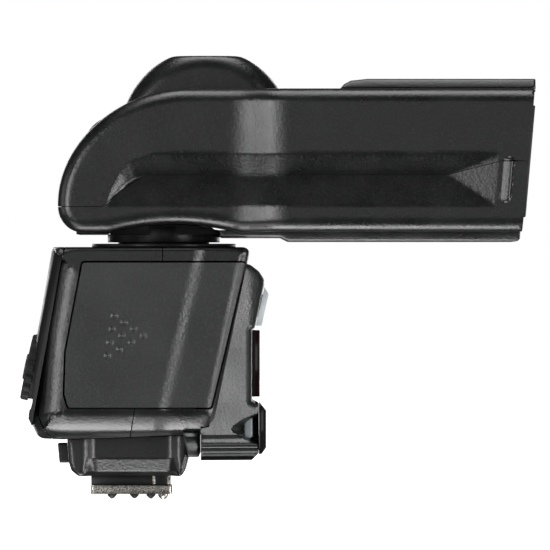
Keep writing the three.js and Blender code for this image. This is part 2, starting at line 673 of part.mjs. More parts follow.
function reflector() {
  const trough = solidOf(alongY(polygon([[48, 76], [48, 70], [70, 62.6], [70, 83.4]]), -27, 27));
  const guides = both((side) => solidOf(box(53, 60,
    side > 0 ? 26.5 : -31, side > 0 ? 31 : -26.5, 61.6, 66)));
  const nut = solidOf(box(52, 57, 17.6, 22.4, 59.6, 69));
  const bowl = solidOf(alongY(polygon([[48.9, 75.6], [48.9, 70.4], [71, 63.1], [71, 82.9]]), -26.2, 26.2));
  const bores = both((side) => solidOf(
    rod('x', zoom.railRadius + 0.15, 40, 80, [side * zoom.railY, zoom.railZ], 16)));
  const screwBore = solidOf(rod('x', zoom.screwRadius + 0.2, 40, 60, [zoom.screwY, zoom.screwZ], 16));
  const tubeHoles = solidOf(rod('y', tube.radius + gap, -40, 40, [tube.x, tube.z], 20));
  return cut(join(trough, guides, nut), bowl, bores, screwBore, tubeHoles);
}

place('zoom_reflector', reflector(), brightMetal);
const tubeGlass = rod('y', tube.radius, -tube.halfLength, tube.halfLength, [tube.x, tube.z], 20);
place('flash_tube', tubeGlass, clearLens);

// Wide panel and bounce card

function widePanel() {
  const plate = solidOf(box(48.5, 87.4, -27.6, 27.6, 88.1, 89));
  const lip = solidOf(box(87.3, 88.3, -27.6, 27.6, 88, 89));
  return join(plate, lip);
}

function bounceCard() {
  const sheet = solidOf(box(48.5, 87.6, -27, 27, 89.25, 89.75));
  const lip = solidOf(box(87.5, 88.3, -9, 9, 89.2, 89.8));
  return join(sheet, lip);
}

place('wide_panel', widePanel(), clearLens);
place('bounce_card', bounceCard(), cardWhite);

export default flash;
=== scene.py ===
import json
import math
from collections import Counter

import bmesh
import bpy
import numpy as np
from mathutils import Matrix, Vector, geometry


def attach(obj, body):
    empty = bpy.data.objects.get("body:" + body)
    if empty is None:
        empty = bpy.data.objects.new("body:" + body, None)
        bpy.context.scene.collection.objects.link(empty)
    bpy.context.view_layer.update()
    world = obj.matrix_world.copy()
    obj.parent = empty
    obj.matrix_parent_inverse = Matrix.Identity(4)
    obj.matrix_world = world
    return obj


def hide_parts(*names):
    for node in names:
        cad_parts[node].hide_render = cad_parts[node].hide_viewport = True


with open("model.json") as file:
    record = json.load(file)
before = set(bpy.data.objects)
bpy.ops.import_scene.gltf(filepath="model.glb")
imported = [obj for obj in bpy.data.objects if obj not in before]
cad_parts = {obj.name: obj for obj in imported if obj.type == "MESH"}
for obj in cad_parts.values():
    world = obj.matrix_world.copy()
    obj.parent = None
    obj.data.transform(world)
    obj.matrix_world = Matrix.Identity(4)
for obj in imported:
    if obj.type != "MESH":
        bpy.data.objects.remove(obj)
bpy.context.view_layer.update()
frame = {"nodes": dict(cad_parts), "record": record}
scene = bpy.context.scene
mm = 0.001
print("frame loaded:", len(frame["nodes"]), "nodes")


# small tools

weldGap = 2e-6  # metres


def toLinear(hexColour):
    parts = [int(hexColour[i:i + 2], 16) / 255 for i in (1, 3, 5)]
    curve = [c / 12.92 if c <= 0.04045 else ((c + 0.055) / 1.055) ** 2.4 for c in parts]
    return (*curve, 1.0)


def addNode(tree, kind, settings=None, **links):
    # a setting is an input's name or number, or else a property; a link called in6 goes to input 6
    node = tree.nodes.new(kind)
    for key, value in (settings or {}).items():
        if isinstance(key, int) or key in node.inputs:
            node.inputs[key].default_value = value
        else:
            setattr(node, key, value)
    for socket, source in links.items():
        numbered = socket.startswith("in") and socket[2:].isdigit()
        tree.links.new(source, node.inputs[int(socket[2:]) if numbered else socket])
    return node


def smoothStep(low, high, value):
    t = np.clip((value - low) / (high - low), 0, 1)
    return t * t * (3 - 2 * t)


def register(name, mesh, material, body, stands=()):
    piece = bpy.data.objects.new(name, mesh)
    scene.collection.objects.link(piece)
    mesh.materials.clear()
    mesh.materials.append(material)
    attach(piece, body)
    if stands:
        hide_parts(*stands)
    return piece


def meshPiece(name, verts, faces, material, body, stands=()):
    mesh = bpy.data.meshes.new(name)
    mesh.from_pydata([tuple(c * mm for c in v) for v in verts], [], faces)
    mesh.validate()
    return register(name, mesh, material, body, stands)


def shadeByAngle(mesh, degrees):
    for polygon in mesh.polygons:
        polygon.use_smooth = True
    mesh.set_sharp_from_angle(angle=math.radians(degrees))


def turnOutward(mesh, degrees):
    # faces of a closed turned piece made to look outwards, then shaded
    work = bmesh.new()
    work.from_mesh(mesh)
    bmesh.ops.recalc_face_normals(work, faces=work.faces)
    work.to_mesh(mesh)
    work.free()
    shadeByAngle(mesh, degrees)


crispLook = {"flatAngle": 1.2, "sharpAngle": 38, "smoothAngle": 30, "segments": 2}


def crisp(node, material, edge):
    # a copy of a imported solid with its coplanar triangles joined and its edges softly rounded
    look = crispLook
    work = bmesh.new()
    work.from_mesh(frame["nodes"][node].data)
    bmesh.ops.remove_doubles(work, verts=work.verts, dist=weldGap)
    bmesh.ops.dissolve_limit(work, angle_limit=math.radians(look["flatAngle"]),
                             verts=work.verts, edges=work.edges)
    sharp = [e for e in work.edges
             if len(e.link_faces) == 2 and e.calc_face_angle(0) > math.radians(look["sharpAngle"])]
    bmesh.ops.bevel(work, geom=sharp, offset=edge * mm, segments=look["segments"], profile=0.5,
                    affect="EDGES", clamp_overlap=True)
    bmesh.ops.triangulate(work, faces=[f for f in work.faces if len(f.verts) > 4])
    mesh = bpy.data.meshes.new(node + "Skin")
    work.to_mesh(mesh)
    work.free()
    shadeByAngle(mesh, look["smoothAngle"])
    body = next(b for b, held in frame["record"]["behaviour"]["bodies"].items() if node in held)
    return register(node + "Skin", mesh, material, body, (node,))


# materials

grainLook = {"pitWidth": 1.6, "grainHeight": 1.4}  # width of the pits in grains, and weight of the grain


def newMaterial(name):
    material = bpy.data.materials.new(name)
    material.use_nodes = True
    tree = material.node_tree
    shader = tree.nodes["Principled BSDF"]
    place = addNode(tree, "ShaderNodeNewGeometry")
    return material, tree, shader, place.outputs["Position"]


def joinLook(tree, shader, colour, roughness, height, strength, deepMm):
    bump = addNode(tree, "ShaderNodeBump", {"Strength": strength, "Distance": deepMm * mm}, Height=height)
    for source, socket in ((colour, "Base Color"), (roughness, "Roughness"), (bump.outputs[0], "Normal")):
        tree.links.new(source, shader.inputs[socket])


def mouldedPlastic(name, look):
    # moulded ABS or polycarbonate: spark-eroded grain, slight sheen differences, and painted glints: the
    # grain's peaks are painted paler as if they caught the light; real spark grain is some 0.05 mm wide, so it
    # is drawn several times coarser to show at all
    material, tree, shader, place = newMaterial(name)
    shader.inputs["IOR"].default_value = look.get("ior", 1.5)
    shader.inputs["Specular IOR Level"].default_value = look.get("specular", 0.5)
    grain = addNode(tree, "ShaderNodeTexNoise",
                    {"Scale": 1 / (look["grainMm"] * mm), "Detail": 3.0, "Roughness": 0.6}, Vector=place)
    pits = addNode(tree, "ShaderNodeTexVoronoi",
                   {"Scale": 1 / (look["grainMm"] * grainLook["pitWidth"] * mm)}, Vector=place)
    cloud = addNode(tree, "ShaderNodeTexNoise",
                    {"Scale": 1 / (look["cloudMm"] * mm), "Detail": 4.0}, Vector=place)
    tone = addNode(tree, "ShaderNodeMix", {"data_type": "RGBA", 6: toLinear(look["dark"]),
                   7: toLinear(look["light"])}, Factor=cloud.outputs["Fac"])
    speck = addNode(tree, "ShaderNodeMix", {"data_type": "RGBA", "blend_type": "MULTIPLY",
                    0: look.get("speckle", 0.35)}, in6=tone.outputs[2], in7=grain.outputs["Fac"])
    # painted glints: where the grain peaks, the colour is mixed towards a paler one that stands in for small
    # highlights
    glintMask = addNode(tree, "ShaderNodeMapRange",
                     {"From Min": 0.5, "From Max": 0.72}, Value=grain.outputs["Fac"])
    glintColour = toLinear(look.get("fleck", look["light"]))
    fleck = addNode(tree, "ShaderNodeMix", {"data_type": "RGBA", 7: glintColour},
                    Factor=glintMask.outputs[0], in6=speck.outputs[2])
    sheen = addNode(tree, "ShaderNodeMapRange", {"From Min": 0.3, "From Max": 0.7,
                    "To Min": look["roughness"] - 0.05, "To Max": look["roughness"] + 0.06},
                    Value=cloud.outputs["Fac"])
    height = addNode(tree, "ShaderNodeMath", {"operation": "MULTIPLY_ADD", 1: grainLook["grainHeight"]},
                     in0=grain.outputs["Fac"], in2=pits.outputs["Distance"])
    joinLook(tree, shader, fleck.outputs[2], sheen.outputs[0], height.outputs[0],
             look["bump"], look["depthMm"])
    return material


def clearPlastic(name, look):
    # polished acrylic or polycarbonate window: nearly flat, with faint flow marks
    material, tree, shader, place = newMaterial(name)
    shader.inputs["IOR"].default_value = 1.49
    shader.inputs["Transmission Weight"].default_value = look.get("clear", 0.0)
    shader.inputs["Subsurface Weight"].default_value = look.get("milky", 0.0)
    shader.inputs["Subsurface Radius"].default_value = (4 * mm, 4 * mm, 4 * mm)
    flow = addNode(tree, "ShaderNodeTexNoise", {"Scale": 1 / (look["flowMm"] * mm), "Detail": 2.0},
                   Vector=place).outputs["Fac"]
    tone = addNode(tree, "ShaderNodeMix", {"data_type": "RGBA", 6: toLinear(look["dark"]),
                   7: toLinear(look["light"])}, Factor=flow)
    polish = addNode(tree, "ShaderNodeMapRange", {"To Min": look["roughness"] * 0.8,
                     "To Max": look["roughness"] * 1.3 + 0.01}, Value=flow)
    joinLook(tree, shader, tone.outputs[2], polish.outputs[0], flow, 0.03, 0.05)
    return material


def platedMetal(name, look):
    # stamped and plated steel: fine draw lines, cloudy tarnish; both are drawn coarser than real to show
    material, tree, shader, place = newMaterial(name)
    shader.inputs["Metallic"].default_value = 1.0
    stretch = addNode(tree, "ShaderNodeMapping", {"Scale": look["stretch"]}, Vector=place)
    lines = addNode(tree, "ShaderNodeTexNoise", {"Scale": 1 / (look["lineMm"] * mm), "Detail": 4.0},
                    Vector=stretch.outputs[0]).outputs["Fac"]
    cloud = addNode(tree, "ShaderNodeTexNoise",
                    {"Scale": 1 / (look["cloudMm"] * mm), "Detail": 5.0}, Vector=place)
    patches = addNode(tree, "ShaderNodeMapRange",
                      {"From Min": 0.36, "From Max": 0.68}, Value=cloud.outputs["Fac"])
    tone = addNode(tree, "ShaderNodeMix", {"data_type": "RGBA", 6: toLinear(look["dark"]),
                   7: toLinear(look["light"])}, Factor=patches.outputs[0])
    polish = addNode(tree, "ShaderNodeMapRange", {"To Min": look["roughness"] - 0.06,
                     "To Max": look["roughness"] + 0.1}, Value=lines)
    joinLook(tree, shader, tone.outputs[2], polish.outputs[0], lines, look["bump"], 0.02)
    return material


# in the three greys below, the palest colour is a painted glint put on the grain's peaks
# moulded ABS, spark-eroded grain: soft dark grey with a broad dull highlight
caseAbs = mouldedPlastic("caseAbsSparkGrain", {
    "dark": "#060707", "light": "#0d0f0e", "roughness": 0.3, "grainMm": 0.45, "cloudMm": 9,
    "bump": 0.34, "depthMm": 0.06, "speckle": 0.45, "fleck": "#1b1d1c"})
# the battery door is moulded a touch paler and coarser
doorAbs = mouldedPlastic("doorAbsSparkGrain", {
    "dark": "#1b1d1c", "light": "#252726", "roughness": 0.37, "grainMm": 0.45, "cloudMm": 12,
    "bump": 0.46, "depthMm": 0.07, "speckle": 0.45, "fleck": "#2b2e2c"})
# the front cover is polished a little more before graining, so it takes more light
coverAbs = mouldedPlastic("coverAbsFineGrain", {
    "dark": "#141616", "light": "#1e2020", "roughness": 0.34, "grainMm": 0.45, "cloudMm": 7,
    "bump": 0.44, "depthMm": 0.07, "speckle": 0.45, "fleck": "#272928"})
# satin moulded polycarbonate for the neck, frames and panel: darker and tighter
satinBlack = mouldedPlastic("polycarbonateSatinMoulded", {
    "dark": "#090a0a", "light": "#111212", "roughness": 0.36, "grainMm": 0.3, "cloudMm": 6,
    "bump": 0.08, "depthMm": 0.04, "speckle": 0.2, "specular": 0.35})
# silicone rubber of dials and keys: nearly no highlight
rubber = mouldedPlastic("siliconeRubberMoulded", {
    "dark": "#1a1b1b", "light": "#242525", "ior": 1.42, "roughness": 0.66, "grainMm": 0.28, "cloudMm": 4,
    "bump": 0.25, "depthMm": 0.06, "specular": 0.35})
# extruded polypropylene sheet for the card: even matt white
whiteCard = mouldedPlastic("polypropyleneWhiteSheet", {
    "dark": "#e6e6e2", "light": "#f2f2ee", "ior": 1.49, "roughness": 0.45, "grainMm": 0.4, "cloudMm": 8,
    "bump": 0.1, "depthMm": 0.03, "speckle": 0.04})
# glass-epoxy board under solder mask: deep glossy green
boardGreen = mouldedPlastic("glassEpoxySolderMask", {
    "dark": "#0f3a24", "light": "#1a5636", "ior": 1.55, "roughness": 0.32, "grainMm": 0.5, "cloudMm": 5,
    "bump": 0.1, "depthMm": 0.03})
# shrunk PVC sleeve of the cells: smooth blue-grey
cellSleeve = mouldedPlastic("pvcCellSleeve", {
    "dark": "#20262c", "light": "#333c44", "ior": 1.53, "roughness": 0.3, "grainMm": 0.6, "cloudMm": 8,
    "bump": 0.05, "depthMm": 0.03})

# moulded acrylic windows: smoked looks black, deep red glows only where light falls straight in,
# opal and frosted scatter it, clear lets it through
smokedAcrylic = clearPlastic("acrylicSmokedPolished", {
    "dark": "#0a0a0b", "light": "#141416", "roughness": 0.07, "flowMm": 6})
redAcrylic = clearPlastic("acrylicDeepRedPolished", {
    "dark": "#0e0304", "light": "#1b0507", "roughness": 0.1, "flowMm": 5})
opalAcrylic = clearPlastic("acrylicOpalMoulded", {
    "dark": "#b9bfc1", "light": "#d6dcdf", "roughness": 0.25, "flowMm": 4, "milky": 0.4})
frostedAcrylic = clearPlastic("acrylicFrostedGrey", {
    "dark": "#6f7577", "light": "#8f9698", "roughness": 0.3, "flowMm": 3})
clearAcrylic = clearPlastic("acrylicClearPolished", {
    "dark": "#e8ecee", "light": "#f6f8f9", "roughness": 0.04, "flowMm": 7, "clear": 0.9})

# nickel-plated steel of the shoe: bright, mottled with tarnish
nickelSteel = platedMetal("steelNickelPlated", {
    "dark": "#3a3733", "light": "#cac6be", "roughness": 0.3, "lineMm": 0.25, "cloudMm": 0.28,
    "stretch": (0.6, 1, 1), "bump": 0.35})
# black-oxide steel of contacts and screws: dull with a cold gleam
darkSteel = platedMetal("steelBlackOxide", {
    "dark": "#19191a", "light": "#303031", "roughness": 0.42, "lineMm": 0.2, "cloudMm": 1.5,
    "stretch": (1, 1, 1), "bump": 0.15})
# bright-anodised aluminium of the reflector: nearly a mirror
mirrorFoil = platedMetal("aluminiumBrightAnodised", {
    "dark": "#c4c6c8", "light": "#e6e8ea", "roughness": 0.14, "lineMm": 0.3, "cloudMm": 6,
    "stretch": (1, 0.1, 1), "bump": 0.05})
print("materials ready")


# casings: two side faces with rounded rims, joined by a band that runs round the outline

ringTurns = (8, 16, 24, 33, 43, 54, 66, 78, 90)  # degrees round the rim's quarter arc
leastRadius, lineStep, gapSlack, rimReach = 0.05, 0.8, 0.004, 1e-3


def bezier(p0, p1, p2, count):
    return [tuple((1 - t) ** 2 * a + 2 * t * (1 - t) * b + t * t * c for a, b, c in zip(p0, p1, p2))
            for t in [i / count for i in range(count + 1)]]


def roundCorners(points, radii, steps=5):
    # fillets each corner of a closed outline
    out = []
    count = len(points)
    for i, point in enumerate(points):
        radius = radii[i] if isinstance(radii, (list, tuple)) else radii
        here = Vector(point)
        before = Vector(points[i - 1]) - here
        after = Vector(points[(i + 1) % count]) - here
        bend = before.angle(after)
        if radius <= 0 or bend > math.radians(176):
            out.append(tuple(here))
            continue
        reach = min(radius / math.tan(bend / 2), before.length * 0.49, after.length * 0.49)
        start = here + before.normalized() * reach
        end = here + after.normalized() * reach
        out += bezier(tuple(start), tuple(here), tuple(end), steps)
    return out


def resample(points, step, closed=True):
    out = []
    count = len(points)
    for i in range(count if closed else count - 1):
        a, b = points[i], points[(i + 1) % count]
        length = math.dist(a, b)
        if length < 1e-6:
            continue
        parts = max(1, round(length / step))
        out += [(a[0] + (b[0] - a[0]) * k / parts, a[1] + (b[1] - a[1]) * k / parts) for k in range(parts)]
    if not closed:
        out.append(points[-1])
    return out


def offsetLine(points, distance):
    # an open polyline moved sideways
    out = []
    for i, point in enumerate(points):
        before = points[max(i - 1, 0)]
        after = points[min(i + 1, len(points) - 1)]
        dx, dz = after[0] - before[0], after[1] - before[1]
        length = math.hypot(dx, dz)
        out.append((point[0] - dz / length * distance, point[1] + dx / length * distance))
    return out


def distanceTo(spots, segments):
    # distance from every spot to its nearest segment, and which one that is
    a, b = segments[:, 0], segments[:, 1]
    along = b - a
    lengths = np.maximum((along ** 2).sum(1), 1e-12)
    best = np.full(len(spots), 1e9)
    nearest = np.zeros(len(spots), int)
    chunk = 2000
    for start in range(0, len(spots), chunk):
        part = spots[start:start + chunk, None, :]
        t = np.clip(((part - a) * along).sum(2) / lengths, 0, 1)
        gap = np.sqrt(((part - (a + t[..., None] * along)) ** 2).sum(2))
        nearest[start:start + chunk] = gap.argmin(1)
        best[start:start + chunk] = gap.min(1)
    return best, nearest


def insideOutline(spots, ring):
    # even-odd test of many points against one closed outline
    crossings = np.zeros(len(spots), int)
    for (ax, az), (bx, bz) in zip(ring, np.roll(ring, -1, 0)):
        if az != bz:
            spans = (spots[:, 1] > min(az, bz)) & (spots[:, 1] <= max(az, bz))
            crossings += spans & (spots[:, 0] < ax + (spots[:, 1] - az) * (bx - ax) / (bz - az))
    return crossings % 2 == 1


def casing(spec):
    # spec: outline, radiusAt, halfWidth and relief; then gaps, creases, grids or step, stations, holes
    ring = np.array(resample(spec["outline"], spec.get("rimStep", lineStep)))
    count = len(ring)
    tangent = np.roll(ring, -1, 0) - np.roll(ring, 1, 0)
    tangent /= np.linalg.norm(tangent, axis=1)[:, None]
    inward = np.stack([-tangent[:, 1], tangent[:, 0]], 1)
    if np.sum(ring[:, 0] * np.roll(ring[:, 1], -1) - np.roll(ring[:, 0], -1) * ring[:, 1]) < 0:
        inward = -inward
    radius = np.array([spec["radiusAt"](x, z) for x, z in ring])
    for _ in range(spec.get("blend", 0)):
        radius = (np.roll(radius, 1) + radius + np.roll(radius, -1)) / 3
    spots = [tuple(p) for p in ring]
    edges = [(i, (i + 1) % count) for i in range(count)]

    def addLine(line):
        first = len(spots)
        if len(line) > 1:
            spots.extend(tuple(p) for p in line)
            edges.extend((first + i, first + i + 1) for i in range(len(line) - 1))

    # rings that follow the rounded rims, then the parting gaps' two edges, the creases and a grid
    for turn in spec.get("rings", ringTurns):
        moved = ring + inward * (radius * (1 - math.cos(math.radians(turn))))[:, None]
        run = []
        for i in [*range(count), 0]:
            if radius[i] > leastRadius:
                run.append(moved[i])
            else:
                addLine(run)
                run = []
        addLine(run)
    gaps = spec.get("gaps", ())
    gapSegments = []
    for gap in gaps:
        corners = gap["line"] + (gap["line"][:1] if gap.get("closed") else [])
        gapSegments.append(np.stack([corners[:-1], corners[1:]], 1))
        for side in (-1, 1):
            addLine(offsetLine(resample(corners, lineStep, False), side * gap["width"] / 2))
    for line in spec.get("creases", ()):
        addLine(resample(line, lineStep, False))
    low, high = ring.min(0), ring.max(0)
    for x0, x1, z0, z1, step in spec.get("grids") or ((low[0], high[0], low[1], high[1], spec["step"]),):
        for i in range(int((x1 - x0) / step) + 1):
            for k in range(int((z1 - z0) / step) + 1):
                shift = step / 2 if k % 2 else 0
                spots.append((x0 + i * step + shift, z0 + k * step))
    result = geometry.delaunay_2d_cdt([Vector(p) for p in spots], edges, [list(range(count))], 1, 1e-4, False)
    flat = np.array([(v.x, v.y) for v in result[0]])
    triangles = np.array([tuple(f) for f in result[2]])
    live, triangles = np.unique(triangles[insideOutline(flat[triangles].mean(1), ring)], return_inverse=True)
    flat, triangles = flat[live], triangles.reshape(-1, 3)

    # how far each point stands back: its rounded rim, then the relief
    segments = np.stack([ring, np.roll(ring, -1, 0)], 1)
    following = np.roll(radius, -1)
    rounded = (radius > leastRadius) & (following > leastRadius)
    near, which = distanceTo(flat, segments[rounded])
    reach = np.maximum(((radius + following) / 2)[rounded][which], 1e-6)
    inside = np.clip(near, 0, reach)
    drop = reach - np.sqrt(np.maximum(reach ** 2 - (reach - inside) ** 2, 0))
    wide = spec["halfWidth"](flat[:, 0], flat[:, 1])

    def inGap(points, side=None):
        # which points a parting gap takes away; a gap without a side of its own runs on both
        taken = np.zeros(len(points), bool)
        for gap, line in zip(gaps, gapSegments):
            if gap.get("side") in (None, side):
                taken |= distanceTo(points, line)[0] < gap["width"] / 2 - gapSlack
        return taken

    centres = flat[triangles].mean(1)
    shift = len(flat)
    verts, faces = [], []
    for side in (-1, 1):
        y = side * (wide - drop - spec["relief"](flat[:, 0], flat[:, 1], side))
        verts += [(x, across, z) for (x, z), across in zip(flat, y)]
        kept = triangles[~inGap(centres, side)]
        faces += (kept if side < 0 else kept[:, ::-1] + shift).tolist()

    # the band across, in strips between the stations
    onRim, _ = distanceTo(flat, segments)
    uses = Counter(tuple(sorted(pair)) for t in triangles.tolist() for pair in zip(t, t[1:] + t[:1]))
    stations = spec.get("stations", (0.0,))
    openRim = spec.get("openRim", lambda x, z: False)
    bandHole = spec.get("bandHole", lambda x, y, z: False)
    rail = {}

    def railVert(i, station):
        if (i, station) not in rail:
            rail[i, station] = len(verts)
            limit = abs(verts[i][1])
            verts.append((flat[i][0], max(-limit, min(limit, station)), flat[i][1]))
        return rail[i, station]

    for (a, b), number in uses.items():
        middle = (flat[a] + flat[b]) / 2
        if number != 1 or max(onRim[a], onRim[b]) > rimReach or openRim(*middle) or inGap(middle[None])[0]:
            continue
        row = [(a, b)] + [(railVert(a, s), railVert(b, s)) for s in stations] + [(a + shift, b + shift)]
        for (a0, b0), (a1, b1) in zip(row, row[1:]):
            if not bandHole(middle[0], (verts[a0][1] + verts[a1][1]) / 2, middle[1]):
                faces.append((a0, b0, b1, a1))
    return verts, faces


def shellPieces(spec, lip):
    # one bmesh of a casing with outward normals, and lips turned in along every open edge
    verts, faces = casing(spec)
    work = bmesh.new()
    points = [work.verts.new(tuple(c * mm for c in v)) for v in verts]
    for face in faces:
        if len({tuple(round(c, 5) for c in verts[i]) for i in face}) < 3:
            continue
        try:
            work.faces.new([points[i] for i in face])
        except ValueError:  # the same sliver twice
            pass
    bmesh.ops.remove_doubles(work, verts=work.verts, dist=weldGap)
    bmesh.ops.delete(work, geom=[v for v in work.verts if not v.link_faces], context="VERTS")
    bmesh.ops.recalc_face_normals(work, faces=work.faces)
    work.normal_update()
    made = bmesh.ops.extrude_edge_only(work, edges=[e for e in work.edges if len(e.link_faces) == 1])
    for v in [g for g in made["geom"] if isinstance(g, bmesh.types.BMVert)]:
        partner = min((e.other_vert(v) for e in v.link_edges), key=lambda o: (o.co - v.co).length)
        v.co = v.co - partner.normal * lip * mm
    work.normal_update()
    return work


def splitLoose(work):
    # groups of connected faces
    left, groups = set(work.faces), []
    for face in work.faces:
        stack, group = [face] if face in left else [], []
        left.discard(face)
        while stack:
            group.append(stack.pop())
            for edge in group[-1].edges:
                near = [f for f in edge.link_faces if f in left]
                left.difference_update(near)
                stack += near
        if group:
            groups.append(group)
    return groups


def middlesOf(group):
    return np.array([f.calc_center_median() for f in group]) / mm


def pieceFrom(work, groups, name, material, body, slot, stands, angle=32):
    keep = {f.index for g in groups for f in g}
    part = work.copy()
    part.faces.ensure_lookup_table()
    bmesh.ops.delete(part, geom=[f for f in part.faces if f.index not in keep], context="FACES")
    mesh = bpy.data.meshes.new(name)
    part.to_mesh(mesh)
    part.free()
    shadeByAngle(mesh, angle)
    return register(name, mesh, material, body, stands)


def casingPiece(name, spec, lip, material, body, slot, stands, angle):
    work = shellPieces(spec, lip)
    pieceFrom(work, splitLoose(work), name, material, body, slot, stands, angle)
    work.free()


def slabPiece(name, outline, half, edge, material, body, slot, stands, **more):
    # a plain extruded piece with rounded rims; anything in more overrides its spec
    spec = {"outline": outline, "radiusAt": lambda x, z: edge, "halfWidth": lambda x, z: half,
            "relief": lambda x, z, side: 0.0, "rings": (30, 60, 90), "step": 2.0,
            "stations": (-half / 2, 0.0, half / 2), **more}
    casingPiece(name, spec, 0.3, material, body, slot, stands, 35)


# head casing

headLook = {
    "rearHalf": 33.0, "frontHalf": 36.5, "flare": (23.8, 32.6), "flareSoft": 2.8, "edge": 3.1,
    "grooveTop": 74.5, "grooveValley": 69.9, "grooveLow": 63.0, "grooveDepth": 2.4, "grooveSoft": 0.22,
    "seamGap": 0.2, "bottom": 57.6, "frontX": 85.0, "frontLean": 0.088, "ribMiddle": 69.1,
    "rib": {"x": 82.0, "low": 65.0, "high": 72.8, "radius": 1.15, "proud": 0.42, "tilt": 0.34},
}


def quarterArc(centreX, centreZ, reachX, reachZ, power, count):
    # a quarter of a superellipse, from its rear to its top or bottom
    spots = []
    for i in range(count + 1):
        turn = math.pi / 2 * i / count
        spots.append((centreX - reachX * math.cos(turn) ** (2 / power),
                      centreZ + reachZ * math.sin(turn) ** (2 / power)))
    return spots


def headOutline():
    rear = quarterArc(12.5, 63.8, 28.3, 24.88, 1.92, 44)
    low = quarterArc(-10.1, 63.0, 5.7, -5.7, 2, 12)[::-1]
    arch = bezier((24, 57.35), (9.75, 61.1), (-4.5, 57.35), 20)
    return rear + [(88.0, 88.7), (85.25, headLook["bottom"]), (34, headLook["bottom"])] + arch + low


def headHalfWidth(x, z):
    # narrow at the rear, wide in front, with a straight slanted flare that is softened at both ends
    start, end = headLook["flare"]
    blur = np.linspace(-headLook["flareSoft"], headLook["flareSoft"], 13)
    rise = np.mean([np.clip((x + shift - start) / (end - start), 0, 1) for shift in blur], 0)
    return headLook["rearHalf"] + (headLook["frontHalf"] - headLook["rearHalf"]) * rise


def headGroove(x, z):
    # a long valley whose walls rise from its floor line to the corners, averaged a little for softness
    top, middle, low = headLook["grooveTop"], headLook["grooveValley"], headLook["grooveLow"]
    depth, soft = headLook["grooveDepth"], headLook["grooveSoft"]
    corners = [(80.4, top), (5.0, top), (0.3, 72.8), (-2.0, 70.4), (-3.5, 67.7), (-5.3, low), (79.5, low)]
    valley = [(40, middle), (4.2, middle), (1.6, 69.0), (0.3, 68.1), (-1.6, 66.7), (40, middle),
              (69.1, middle)]
    total = np.zeros_like(x)
    for dx, dz in ((0, 0), (soft, 0), (-soft, 0), (0, soft), (0, -soft)):
        ramp = np.full(x.shape, 99.0)
        for i, (ax, az) in enumerate(corners):
            bx, bz = corners[(i + 1) % len(corners)]
            length = math.hypot(bx - ax, bz - az)
            nx, nz = -(bz - az) / length, (bx - ax) / length
            full = (valley[i][0] - ax) * nx + (valley[i][1] - az) * nz
            ramp = np.minimum(ramp, depth * ((x + dx - ax) * nx + (z + dz - az) * nz) / full)
        total += np.clip(ramp, 0, depth)
    return total / 5


def headRibs(x, z):
    # an upright rounded bar just behind the front edge, leaning with it
    rib = headLook["rib"]

    def ribX(height):
        return rib["x"] + headLook["frontLean"] * (height - headLook["ribMiddle"])

    line = np.array([[(ribX(end), end) for end in (rib["low"], rib["high"])]])
    away, _ = distanceTo(np.stack([x, z], 1), line)
    across = np.clip((x - ribX(z)) / rib["radius"], -1, 1)
    return (rib["proud"] + rib["tilt"] * across) * np.clip(1 - (away / rib["radius"]) ** 4, 0, 1)


# the parting line between the upper and lower casing follows the groove's rear end and floor
headSeam = [(-30, 63.0), (-6.2, 63.0), (-4.4, 64.4), (-2.4, 66.2), (0.4, 68.2), (2.4, 69.3), (4.6, 69.9),
            (69.1, 69.9), (80.6, 72.9), (95, 72.9)]
yokeWell = {"half": 12.8, "pivotX": -3.3, "pivotZ": 75.8, "radius": 7.6}


def aboveSeam(group):
    xs, _, zs = middlesOf(group).T
    return np.mean(zs - np.interp(xs, *np.array(headSeam).T)) > 0


def inWell(x, y, z):
    well = yokeWell
    behind = x < well["pivotX"] + well["radius"] and z < well["pivotZ"] + well["radius"]
    return behind and abs(y) <= well["half"]


def onFront(x, z):
    return x > headLook["frontX"] + (z - headLook["bottom"]) * headLook["frontLean"] - 0.2


headWork = shellPieces({
    "outline": headOutline(), "rimStep": 0.9,
    "radiusAt": lambda x, z: 0.0 if onFront(x, z) and 57.8 < z < 88.5 else headLook["edge"],
    "halfWidth": headHalfWidth, "relief": lambda x, z, side: headGroove(x, z) - headRibs(x, z),
    "gaps": [{"line": headSeam, "width": headLook["seamGap"]}],
    # pairs of lines beside each edge of the groove keep those edges sharp
    "creases": [
        [(5, 74.78), (80.5, 74.78)], [(5, 74.22), (80, 74.22)], [(4.4, 70.2), (69, 70.2)],
        [(4.4, 69.6), (69, 69.6)], [(-5, 63.28), (79.4, 63.28)], [(-5, 62.72), (79.6, 62.72)],
        [(69.3, 70.1), (80.4, 74.6)],
        [(69.3, 69.7), (79.6, 63.2)], [(80.5, 74.5), (79.6, 63)], [(80.2, 74.3), (79.2, 63.2)],
        [(4.8, 74.6), (0.2, 72.95), (-2.2, 70.5), (-3.7, 67.8), (-5.3, 63.6)],
        [(4.9, 74.2), (0.5, 72.6), (-1.8, 70.3), (-3.3, 67.6), (-4.6, 64.8)],
    ],
    "grids": ((-16, 90, 56, 90, 1.3), (-7, 8, 61, 76, 0.55), (22, 36, 60, 87, 0.9),
              (80.6, 83.5, 63.6, 74.8, 0.24)),
    "openRim": lambda x, z: onFront(x, z) and 57.7 < z < 88.6,
    "stations": (-22.0, -yokeWell["half"], 0.0, yokeWell["half"], 22.0),
    "bandHole": inWell,
}, 1.1)
headGroups = splitLoose(headWork)
for name, above, node in (("headUpperCasing", True, "head_upper_shell"),
                          ("headLowerCasing", False, "head_lower_shell")):
    half = [g for g in headGroups if aboveSeam(g) == above]
    pieceFrom(headWork, half, name, caseAbs, "head", "textured_case", (node,))
headWork.free()
print("head casing made:", len(headGroups), "parts")


# tongue behind the parting line, so that no light shows through it

tongueLook = {"inset": 1.0, "half": 0.8, "thick": 0.5, "step": 1.2, "rear": -13.5, "front": 85.5}


